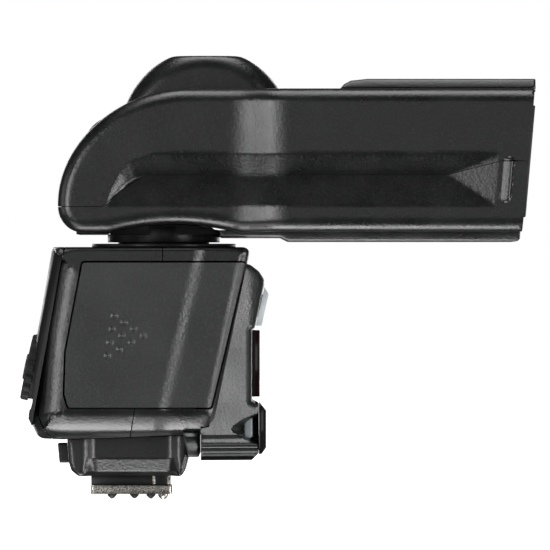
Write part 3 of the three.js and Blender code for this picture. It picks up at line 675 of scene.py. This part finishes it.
def makeTongue():
    look = tongueLook
    path = [p for p in resample(headSeam, look["step"], False) if look["rear"] < p[0] < look["front"]]
    xs, zs = np.array(path).T
    outer = headHalfWidth(xs, zs) - headGroove(xs, zs) - look["inset"]
    verts, faces = [], []
    for side in (-1, 1):
        first = len(verts)
        for x, y, z in zip(xs, outer, zs):
            inner, low, high = y - look["thick"], z - look["half"], z + look["half"]
            verts += [(x, side * y, low), (x, side * y, high), (x, side * inner, high), (x, side * inner, low)]
        for i in range(len(xs) - 1):
            for k in range(4):
                here, after = first + 4 * i + k, first + 4 * i + (k + 1) % 4
                faces.append((here, after, after + 4, here + 4))
        last = first + 4 * (len(xs) - 1)
        faces += [(first, first + 3, first + 2, first + 1), (last, last + 1, last + 2, last + 3)]
    meshPiece("seamTongue", verts, faces, satinBlack, "head")


makeTongue()


# plate screwed under the head: runs forward from the neck, with a thinner tail behind it

plateOutline = [(19.4, 57.9), (19.4, 56.3), (32.6, 56.3), (34.3, 55.45), (84.3, 55.45), (84.9, 56.0),
                (85.0, 57.9)]
slabPiece("undersidePlate", roundCorners(plateOutline, [0.1, 0.3, 0.8, 0.8, 0.5, 0.3, 0.1], 3),
          30.0, 0.45, caseAbs, "head", "textured_case", ("underside_pad",),
          relief=lambda x, z, side: (57.9 - z) * 0.55)
tailOutline = [(-11.9, 57.7), (-11.9, 57.0), (-5.2, 57.0), (-5.2, 57.7)]
slabPiece("undersideTail", roundCorners(tailOutline, 0.15, 2),
          20.0, 0.12, satinBlack, "head", "smooth_case", ())


# raised deck over the pull-out panels, open in front where they come out
deckOutline = [(88.3, 88.72), (88.3, 90.85), (51.6, 90.85), (48.0, 90.45), (46.6, 89.7), (45.7, 88.72)]
slabPiece("panelDeck", roundCorners(deckOutline, [0, 0.3, 1.5, 1, 0.6, 0], 4),
          30.0, 0.5, caseAbs, "head", "textured_case", ("panel_cover",),
          relief=lambda x, z, side: (z - 88.7) * 0.62, stations=(-28.3, -12.0, 0.0, 12.0, 28.3),
          bandHole=lambda x, y, z: x > 88.2 and abs(y) < 28.3 and z < 90.6)


# rubber boot round the neck, that closes the arch of the head's underside

def bootOutline():
    top = bezier((-3.0, 57.55), (9.75, 60.75), (22.5, 57.55), 16)
    return [p for p in top if p[0] < 19.2] + [(19.3, 57.0), (-4.9, 57.0)]


slabPiece("neckBoot", bootOutline(), 12.0, 0.15, rubber, "neck", "rubber", ())


# hump over the capacitor

humpLook = {"x": 16.5, "z": 78.7, "radius": 18.85, "top": 96.1, "half": 20.0, "edge": 4.5, "shoulder": 0.55,
            "from": -12, "sweep": 204, "turns": 60}


def makeHump():
    look = humpLook
    profile = []
    for angle in range(0, 91, 9):
        a = math.radians(angle)
        profile.append((look["radius"] - look["edge"] + look["edge"] * math.sin(a),
                        look["half"] - look["edge"] + look["edge"] * math.cos(a)))
    rows = [(r, -y) for r, y in profile] + [(r, y) for r, y in reversed(profile)]
    verts, faces = [], []
    turns = look["turns"]
    for i in range(turns + 1):
        a = math.radians(look["from"] + look["sweep"] * i / turns)
        for radius, y in rows:
            z = look["z"] + radius * math.sin(a)
            # the crown is planed off almost flat with a soft shoulder
            over = z - (look["top"] - look["shoulder"])
            if over > 0:
                z = look["top"] - look["shoulder"] * (1 - math.tanh(over / look["shoulder"]))
            verts.append((look["x"] + radius * math.cos(a), y, z))
    wide = len(rows)
    for i in range(turns):
        for k in range(wide - 1):
            faces.append((i * wide + k, i * wide + k + 1, (i + 1) * wide + k + 1, (i + 1) * wide + k))
    for row in (0, wide - 1):
        faces.append([i * wide + row for i in range(turns + 1)])
    piece = meshPiece("headHump", verts, faces, caseAbs, "head")
    turnOutward(piece.data, 40)


makeHump()
print("hump made")


# body casing

bodyLook = {"half": 30.98, "top": 54.2, "topEdge": 1.0, "lowEdge": 1.4, "frontEdge": 2.7, "rearEdge": 7.2,
            "topRim": (53.7, -16.4, 25.4), "lowRim": (14.4, -19, 16.6), "gap": 0.42, "partingGap": 0.2,
            "panelGap": 0.24, "crestX": 14.2, "crestLean": 0.232, "crestBand": 2.3, "crestSlope": 0.36,
            "frontSlope": 0.04, "skirtTop": 18.7, "skirtSoft": 1.2, "skirtSlope": 0.72, "underTop": 15.0,
            "underCurve": 0.55}
doorLook = {"x": -4.2, "z": 34.9, "across": 2.35, "up": 2.9, "lean": 0.17, "columns": 4, "radius": 0.72,
            "deep": 0.36}


def bodyOutline():
    corners = [(-17.1, 54.2), (26.2, 54.2), (17.6, 13.4), (-14.8, 12.2), (-20.2, 12.4), (-22.2, 16.9),
               (-21.4, 20.4), (-20.3, 35.5)]
    return roundCorners(corners, [1.0, 1.6, 2.2, 0, 2.2, 2.0, 0, 0])


def bodyRadius(x, z):
    look = bodyLook
    low, rear, front = look["topRim"]
    if z > low and rear < x < front:
        return look["topEdge"]
    high, rear, front = look["lowRim"]
    if z < high and rear < x < front:
        return look["lowEdge"]
    # the body leans, and so does the line that parts its front half from its rear half
    middle = 3 - (look["top"] - z) * 0.19
    return look["frontEdge"] if x > middle else look["rearEdge"]


def bodyCrest(x, z, side):
    # both sides are flat up to a leaning crest, turn over it in a narrow band and fall away gently in front;
    # along the bottom they turn in as a broad soft skirt
    look = bodyLook
    past = x - (look["crestX"] - (look["top"] - z) * look["crestLean"])
    crest = np.clip(past, 0, look["crestBand"]) * look["crestSlope"]
    front = np.clip(past - look["crestBand"], 0, 30) * look["frontSlope"]
    low, soft = np.clip(look["skirtTop"] - z, 0, 9), look["skirtSoft"]
    skirt = np.where(low < soft, low ** 2 / (2 * soft), low - soft / 2) * look["skirtSlope"]
    under = np.clip(look["underTop"] - z, 0, 2) ** 2 * look["underCurve"]
    return crest + front + skirt + under


def doorDimples(x, z, side):
    # an arrowhead of moulded dimples that shows which way the door slides
    look = doorLook
    total = np.zeros_like(x)
    if side > 0:
        return total
    for column in range(look["columns"]):
        count = look["columns"] - column
        for row in range(count):
            rise = (row - (count - 1) / 2) * look["up"]
            centreX = look["x"] + column * look["across"] + look["lean"] * rise
            centreZ = look["z"] + rise
            away = np.hypot(x - centreX, z - centreZ) / look["radius"]
            total += look["deep"] * np.clip(1 - away ** 2, 0, 1)
    return total


doorLine = roundCorners([(-10.5, 51.0), (25.4, 51.0), (17.75, 19.05), (-13.6, 19.05), (-14.5, 22.1),
                         (-14.2, 31.2)], [0.8, 0.8, 0.8, 0.8, 2, 2], 4)
partingLines = [(7.07, 60), (7.07, 51.15)], [(0.98, 18.9), (0.07, 13.6), (-0.3, 8)]
panelLine = [(-13.6, 60), (-14.35, 53.9), (-18.7, 31.2), (-20.3, 22.1), (-20.0, 17.2), (-18.9, 14.6),
             (-17.3, 12.4), (-16.6, 9)]

bodyWork = shellPieces({
    "outline": bodyOutline(), "rimStep": 0.9, "radiusAt": bodyRadius, "blend": 10,
    "halfWidth": lambda x, z: bodyLook["half"],
    "relief": lambda x, z, side: bodyCrest(x, z, side) + doorDimples(x, z, side),
    "gaps": [{"line": doorLine, "width": bodyLook["gap"], "closed": True, "side": -1},
             *({"line": line, "width": bodyLook["partingGap"]} for line in partingLines),
             {"line": panelLine, "width": bodyLook["panelGap"]}],
    "grids": ((-23, 28, 12, 55, 1.3), (-6.6, 4.4, 29.6, 40.4, 0.26)),
    "stations": (-26.0, -12.0, 0.0, 12.0, 26.0),
    "bandHole": lambda x, y, z: x < -17 and z > 13.5,
}, 1.2)


def bodyPart(group):
    # which moulding a loose group of faces belongs to, from where it lies beside the leaning parting lines
    xs, ys, zs = middlesOf(group).T
    if ys.max() < 0 and zs.min() > 18 and zs.max() < 51.5:
        return "door"
    return "front" if np.mean(xs - (zs - bodyLook["top"]) * 0.16) > 3.5 else "rear"


bodyGroups = splitLoose(bodyWork)
bodyPieces = {
    "door": ("batteryDoorSkin", doorAbs, "door", "door_case", ("battery_door",)),
    "front": ("bodyFrontCasing", caseAbs, "body", "textured_case", ("front_shell",)),
    "rear": ("bodyRearCasing", caseAbs, "body", "textured_case", ("rear_shell",)),
}
for part, words in bodyPieces.items():
    pieceFrom(bodyWork, [g for g in bodyGroups if bodyPart(g) == part], *words)
bodyWork.free()
print("body casing made:", len(bodyGroups), "parts")


# front cover: tapered sides, a lipped chin and a scoop on each side that lets the sensor see sideways

coverLook = {"half": 28.0, "taperFrom": 15.0, "taper": 0.36, "bendFrom": 25.2, "bend": 0.09, "edge": 1.5,
             "scoopX": 22.1, "scoopZ": 14.5, "scoopWide": 2.8, "scoopDeep": 5.2, "scoopCurve": 0.8,
             "ridgeHalf": 0.45, "ridgeProud": 1.3, "mouthDeep": 3.2,
             "lipTop": 13.3, "lipGroove": 10.5, "slabTop": 8.5, "bottom": 7.7,
             "lipProud": 0.9, "lowLipProud": 0.8, "lipStep": 0.75, "slabSlope": 1.2}


def coverOutline():
    corners = [(24.9, 50.7), (26.2, 50.3), (28.0, 48.9), (29.15, 47.2), (29.1, 45.8), (27.1, 36.6),
               (26.5, 36.2), (26.45, 20.6), (27.9, 19.7), (27.95, 9.2), (26.5, 7.7), (15.35, 7.7),
               (15.35, 14.6), (17.2, 15)]
    return roundCorners(corners, [0, 1.5, 1.5, 0.8, 0, 0.3, 0.3, 0.4, 0.6, 0.4, 0.3, 0.2, 0, 0], 4)


def coverHalf(x, z):
    # straight taper that bends further in towards the windows
    look = coverLook
    bend = np.clip(x - look["bendFrom"], 0, 5) ** 2 * look["bend"]
    return look["half"] - np.clip(x - look["taperFrom"], 0, 20) * look["taper"] - bend * (z > 20)


def halfRound(z, low, high, proud):
    middle, reach = (low + high) / 2, (high - low) / 2
    return proud * np.clip(1 - np.abs((z - middle) / reach) ** 3, 0, 1)


def coverRelief(x, z, side):
    look = coverLook
    inside = x - look["scoopX"] - look["scoopCurve"] * np.abs(z - look["scoopZ"]) ** 1.6
    funnel = look["scoopDeep"] * np.clip(inside / look["scoopWide"], 0, 1) ** 0.8
    ridge = np.clip(1 - np.abs(inside - look["scoopWide"]) / look["ridgeHalf"], 0, 1) * look["ridgeProud"]
    mouth = np.where(inside > look["scoopWide"] + 0.3, look["mouthDeep"], 0.0)
    lips = halfRound(z, look["lipGroove"] + 0.12, look["lipTop"], look["lipProud"])
    lips += halfRound(z, look["slabTop"] + 0.05, look["lipGroove"] - 0.12, look["lowLipProud"])
    below = np.where(z < look["lipTop"], look["lipStep"], 0.0)
    below += np.where(z < look["slabTop"], look["slabSlope"] * (z - look["bottom"]), 0.0)
    return funnel - ridge + mouth + below - lips * (inside < 0)


# openings for the lamp lens, the red window and the sensor: half width, bottom, top, and how far forward
coverWindows = ((11.2, 36.4, 46.2, 25), (12, 20.8, 36, 25), (21, 8.8, 20.4, 27))


def coverRadius(x, z):
    if z < 13.4:
        return 0.1 if z < 8.6 else 0.25
    return coverLook["edge"] if x > 25.2 and z > 20 else 0.0


casingPiece("frontCoverCasing", {
    "outline": coverOutline(), "rimStep": 0.7, "radiusAt": coverRadius, "halfWidth": coverHalf,
    "relief": coverRelief,
    "creases": [[(15.4, 13.3), (27, 13.3)], [(15.4, 10.62), (27.9, 10.62)], [(15.4, 10.38), (27.9, 10.38)],
                [(15.4, 8.55), (27.2, 8.55)], [(15.4, 8.45), (27.1, 8.45)]],
    "grids": ((15, 30, 7, 51, 1.0), (21.5, 28, 10.6, 18.6, 0.3), (15.4, 28, 7.8, 13.4, 0.4)),
    "stations": (-20.0, -11.0, 0.0, 11.0, 20.0),
    "bandHole": lambda x, y, z: any(abs(y) < half and low < z < high and x > face
                                    for half, low, high, face in coverWindows),
}, 0.9, coverAbs, "body", "textured_case", ("front_cover",), 40)
print("front cover made")


# the sensor's side-looking lens, seen through the mouth of the scoop
slabPiece("sensorSideLens", roundCorners([(24.7, 12.4), (26.75, 12.4), (26.75, 17.2), (24.7, 17.2)], 0.9, 4),
          21.0, 0.5, frostedAcrylic, "body", "clear_lens", ("sensor_lens",))


# the lug that carries the chin's lip on to the body
casingPiece("chinLug", {
    "outline": roundCorners([(11.4, 13.9), (14.95, 13.9), (14.95, 8.4), (12.6, 8.4)], [0, 0.3, 0.3, 0.3], 3),
    "radiusAt": lambda x, z: 0.4, "halfWidth": lambda x, z: 26.8 - (x - 11.4) * coverLook["taper"],
    "relief": lambda x, z, side: -halfRound(z, 8.4, 12.9, 0.9),
    "step": 0.5, "stations": (-14.0, 0.0, 14.0),
}, 0.4, coverAbs, "body", "textured_case", (), 35)


# foot housing: hollow flanks between four corner columns, turned in towards the shoe at the bottom
footLook = {"half": 17.0, "edge": 1.2, "recessFrom": (-10.6, -7.6), "recessTo": (8.2, 10.8), "deep": 1.3,
            "slopeLow": 5.1, "slopeHigh": 8.0, "slope": 0.66, "keelSlope": 2.0}


def footRelief(x, z, side):
    look = footLook
    across = smoothStep(*look["recessFrom"], x) * (1 - smoothStep(*look["recessTo"], x))
    undercut = np.clip(look["slopeHigh"] - z, 0, 9) * look["slope"]
    keel = np.clip(look["slopeLow"] - z, 0, 9) * look["keelSlope"]
    return across * (look["deep"] + undercut + keel)


footOutline = [(-14.0, 12.4), (-13.6, 7.0), (-13.1, 5.3), (-11.5, 4.02), (11.0, 4.02), (11.9, 5.4),
               (12.6, 8.2), (13.1, 13.4)]
casingPiece("footCasing", {
    "outline": roundCorners(footOutline, [0.5, 2, 1.2, 1.4, 1.2, 1.2, 2, 0.5], 4),
    "rimStep": 0.6, "radiusAt": lambda x, z: footLook["edge"] if z < 11.6 else 0.5,
    "halfWidth": lambda x, z: footLook["half"], "relief": footRelief,
    "grids": ((-14, 13, 4, 13, 0.6),), "stations": (-11.0, -5.4, 0.0, 5.4, 11.0),
    "creases": [[(-9, z), (9.2, z)] for z in (footLook["slopeHigh"], footLook["slopeLow"])],
    # the slot that the release button comes out of
    "bandHole": lambda x, y, z: abs(y) < 5.4 and x < -13 and 6.4 < z < 11.4,
}, 0.8, caseAbs, "body", "textured_case", ("foot_housing",), 40)
print("foot made")


# knurled dials on the rear panel

dialLook = {"radius": 7.3, "height": 3.1, "teeth": 18, "toothDeep": 0.65, "toothFrom": 1.4,
            "skirtRadius": 6.75, "skirtHeight": 1.35, "lift": 0.3, "round": 0.45, "dishRadius": 4.9,
            "dishSlope": 0.4, "dishDeep": 0.3, "boreRadius": 3.1, "boreFloor": 1.0, "hubRadius": 0.3,
            "turns": 144}


def dialPiece(name, dial, hollow):
    # turned profile, out from the panel, whose crown radius is cut by rounded teeth
    look = dialLook
    joint = next(j for j in frame["record"]["behaviour"]["joints"] if j["name"] == dial + "_turn")
    centre, axis = Vector(joint["pos_m"]) / mm, Vector(joint["axis"])
    acrossWay = Vector((0, 1, 0))
    upWay = axis.cross(acrossWay)
    top, radius, edge = look["height"], look["radius"], look["round"]
    dish = top - look["dishDeep"]
    profile = [(look["skirtRadius"], look["lift"], 0), (look["skirtRadius"], look["skirtHeight"], 0),
               (radius, look["toothFrom"], 1)]
    for angle in range(0, 91, 30):
        turn = math.radians(angle)
        profile.append((radius - edge + edge * math.cos(turn), top - edge + edge * math.sin(turn), 1))
    last = look["boreRadius"] if hollow else look["hubRadius"]
    profile += [(look["dishRadius"] + look["dishSlope"], top, 0), (look["dishRadius"], dish, 0),
                (last + 0.3, dish, 0), (last, dish - 0.15, 0)]
    if hollow:
        profile.append((last, look["boreFloor"], 0))
    verts, faces = [], []
    turns, rows = look["turns"], len(profile)
    for i in range(turns):
        turn = 2 * math.pi * i / turns
        tooth = 0.5 - 0.5 * math.tanh(3 * math.cos(look["teeth"] * turn))
        ray = acrossWay * math.cos(turn) + upWay * math.sin(turn)
        for reach, out, cut in profile:
            far = reach - cut * look["toothDeep"] * tooth
            verts.append(tuple(centre - axis * out + ray * far))
    for i in range(turns):
        after = (i + 1) % turns
        for k in range(rows - 1):
            faces.append((i * rows + k, i * rows + k + 1, after * rows + k + 1, after * rows + k))
    faces.append([i * rows for i in range(turns)])
    faces.append([i * rows + rows - 1 for i in reversed(range(turns))])
    piece = meshPiece(name, verts, faces, rubber, dial, (dial,))
    turnOutward(piece.data, 35)


dialPiece("modeDialKnurled", "mode_dial", False)
dialPiece("valueDialKnurled", "value_dial", True)
print("dials made")


# plated posts of the lock's spring cage, beside the neck
postLook = {"wide": 0.6, "low": 2.02, "high": 3.98, "half": 6.3, "edge": 0.15}
for name, rear in (("lockPostRear", 4.6), ("lockPostFront", 7.9)):
    front = rear + postLook["wide"]
    slabPiece(name, [(rear, postLook["low"]), (front, postLook["low"]), (front, postLook["high"]),
                     (rear, postLook["high"])],
              postLook["half"], postLook["edge"], nickelSteel, "body", "bright_metal", ())


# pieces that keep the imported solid's shape, with softened edges

crispParts = {
    "rear_panel": (satinBlack, 0.2), "display_window": (smokedAcrylic, 0.15), "set_button": (satinBlack, 0.2),
    "power_button": (rubber, 0.25), "test_button": (opalAcrylic, 0.25), "video_light_lens": (opalAcrylic, 0.2),
    "focus_assist_window": (redAcrylic, 0.15), "sensor_window": (smokedAcrylic, 0.15),
    "shoe_neck": (satinBlack, 0.15), "shoe_plate": (nickelSteel, 0.2), "shoe_release_button": (rubber, 0.25),
    "swivel_ring": (satinBlack, 0.12), "tilt_yoke": (satinBlack, 0.25), "front_bezel": (satinBlack, 0.2),
    "shoe_lock_pin": (nickelSteel, 0.1), "shoe_contact_1": (darkSteel, 0.08),
}
for node, (material, edge) in crispParts.items():
    crisp(node, material, edge)

# pieces that stay as packed, by finish
plainParts = {
    boardGreen: ["main_board", "trigger_board"],
    satinBlack: ["battery_tray", "yoke_well", "main_capacitor"],
    cellSleeve: [f"battery_cell_{i}" for i in range(1, 5)],
    nickelSteel: ["battery_contact_plate", "tilt_pin", "zoom_rails", "zoom_screw", "zoom_motor"],
    darkSteel: ["shoe_screw_1", "shoe_screw_2", "case_screw_left", "case_screw_right", "head_screw_left",
                "head_screw_right", "swivel_retainer", "door_hinge_leaf"]
    + [f"shoe_contact_{i}" for i in range(2, 6)],
    clearAcrylic: ["fresnel_lens", "flash_tube", "wide_panel"],
    mirrorFoil: ["zoom_reflector"],
    whiteCard: ["bounce_card"],
}
for material, nodes in plainParts.items():
    for node in nodes:
        mesh = frame["nodes"][node].data
        mesh.materials.clear()
        mesh.materials.append(material)
print("packed parts dressed")


# floor, light and camera

studio = {"floorZ": -1.35, "cameraX": 31.53, "cameraZ": 48.11, "cameraAway": 2400, "frameWide": 120.0,
          "frameAhead": 25, "sensor": 36, "sweepReach": 6000, "fibreMm": 1.11, "ambient": 0.07}

# bleached paper sweep: matt white with a faint fibre, drawn coarse enough to show
floorMaterial, floorTree, floorShader, floorPlace = newMaterial("paperSweepWhite")
paperGrain = addNode(floorTree, "ShaderNodeTexNoise", {"Scale": 1 / (studio["fibreMm"] * mm), "Detail": 3.0},
                     Vector=floorPlace)
paperTone = addNode(floorTree, "ShaderNodeMix", {"data_type": "RGBA", 6: toLinear("#f4f4f4"),
                    7: toLinear("#fafafa")}, Factor=paperGrain.outputs["Fac"])
floorTree.links.new(paperTone.outputs[2], floorShader.inputs["Base Color"])
floorShader.inputs["Roughness"].default_value = 0.9
floorShader.inputs["Specular IOR Level"].default_value = 0.1
floorShader.inputs["Emission Color"].default_value = (1, 1, 1, 1)
floorShader.inputs["Emission Strength"].default_value = 1.0

floorMesh = bpy.data.meshes.new("paperSweep")
sweepCorners = [(x * studio["sweepReach"] * mm, y * studio["sweepReach"] * mm, studio["floorZ"] * mm)
                for x, y in ((-1, -1), (1, -1), (1, 1), (-1, 1))]
floorMesh.from_pydata(sweepCorners, [], [(0, 1, 2, 3)])
floorMesh.materials.append(floorMaterial)
floor = bpy.data.objects.new("paperSweep", floorMesh)
scene.collection.objects.link(floor)
# the sweep is only looked at: the soft lamp below it stands for the light that a real one throws back up
for ray in ("diffuse", "glossy", "transmission", "shadow"):
    setattr(floor, "visible_" + ray, False)

world = bpy.data.worlds.new("studioWorld")
scene.world = world
world.use_nodes = True
tree = world.node_tree
background = tree.nodes["Background"]
background.inputs["Color"].default_value = (1, 1, 1, 1)
background.inputs["Strength"].default_value = studio["ambient"]
white = addNode(tree, "ShaderNodeBackground", {"Color": (1, 1, 1, 1), "Strength": 1.0})
ray = addNode(tree, "ShaderNodeLightPath")
mix = addNode(tree, "ShaderNodeMixShader", None, Fac=ray.outputs["Is Camera Ray"])
tree.links.new(background.outputs[0], mix.inputs[1])
tree.links.new(white.outputs[0], mix.inputs[2])
tree.links.new(mix.outputs[0], tree.nodes["World Output"].inputs["Surface"])


def softbox(name, degreesRight, degreesUp, away, size, radiance, aim=(30, 0, 50)):
    # a rectangular soft lamp in a direction counted from the camera's side of the object
    side, rise = math.radians(degreesRight), math.radians(degreesUp)
    spot = Vector(aim) + away * Vector((math.sin(side) * math.cos(rise), -math.cos(side) * math.cos(rise),
                                        math.sin(rise)))
    data = bpy.data.lights.new(name, "AREA")
    data.shape = "RECTANGLE"
    data.size, data.size_y = size[0] * mm, size[1] * mm
    data.energy = radiance * math.pi * data.size * data.size_y
    lamp = bpy.data.objects.new(name, data)
    lamp.location = spot * mm
    lamp.rotation_euler = (Vector(aim) - spot).to_track_quat("-Z", "Y").to_euler()
    scene.collection.objects.link(lamp)


softbox("frontFill", 2, 3, 2700, (800, 800), 1.0)  # the flat sides
softbox("highFill", 0, 66, 1400, (1100, 520), 2.0)
softbox("leftStrip", -39, 0, 1500, (460, 1000), 8.6)  # the head's flare and the rear roundings
softbox("leftWide", -80, 0, 1500, (760, 1000), 1.5)
softbox("leftSoft", -23, 0, 1500, (340, 1000), 2.0)
softbox("leftLow", -47, -54, 1300, (330, 460), 5.0)
softbox("rightStrip", 41, 0, 1500, (400, 1000), 12.4)  # the crest and the cover
softbox("farRight", 80, -27, 1400, (620, 620), 9.0)  # the groove's rear end
softbox("topSoftbox", 0, 88, 700, (520, 420), 5.0, aim=(40, 0, 60))  # the upper roundings
softbox("tableBounce", 0, -88, 700, (340, 420), 10.5, aim=(-70, 0, 40))  # the lower roundings, rear
softbox("frontBounce", 0, -88, 700, (330, 420), 2.8, aim=(240, 0, 40))  # the lower roundings, front
softbox("rearFill", 178, 6, 2700, (1000, 900), 2.0)  # the rear views
softbox("rearLeftStrip", -158, 4, 1500, (300, 1100), 4.0)
softbox("rearRightStrip", 158, 4, 1500, (300, 1100), 4.0)

camera = bpy.data.cameras.new("studioCamera")
camera.sensor_width = studio["sensor"]
camera.lens = studio["sensor"] * (studio["cameraAway"] - studio["frameAhead"]) / studio["frameWide"]
camera.clip_end = 50
camera.dof.use_dof = False
cameraObject = bpy.data.objects.new("studioCamera", camera)
cameraObject.location = (studio["cameraX"] * mm, -studio["cameraAway"] * mm, studio["cameraZ"] * mm)
cameraObject.rotation_euler = (math.radians(90), 0, 0)
scene.collection.objects.link(cameraObject)
scene.camera = cameraObject
scene.view_settings.view_transform = "Standard"
print("studio ready")
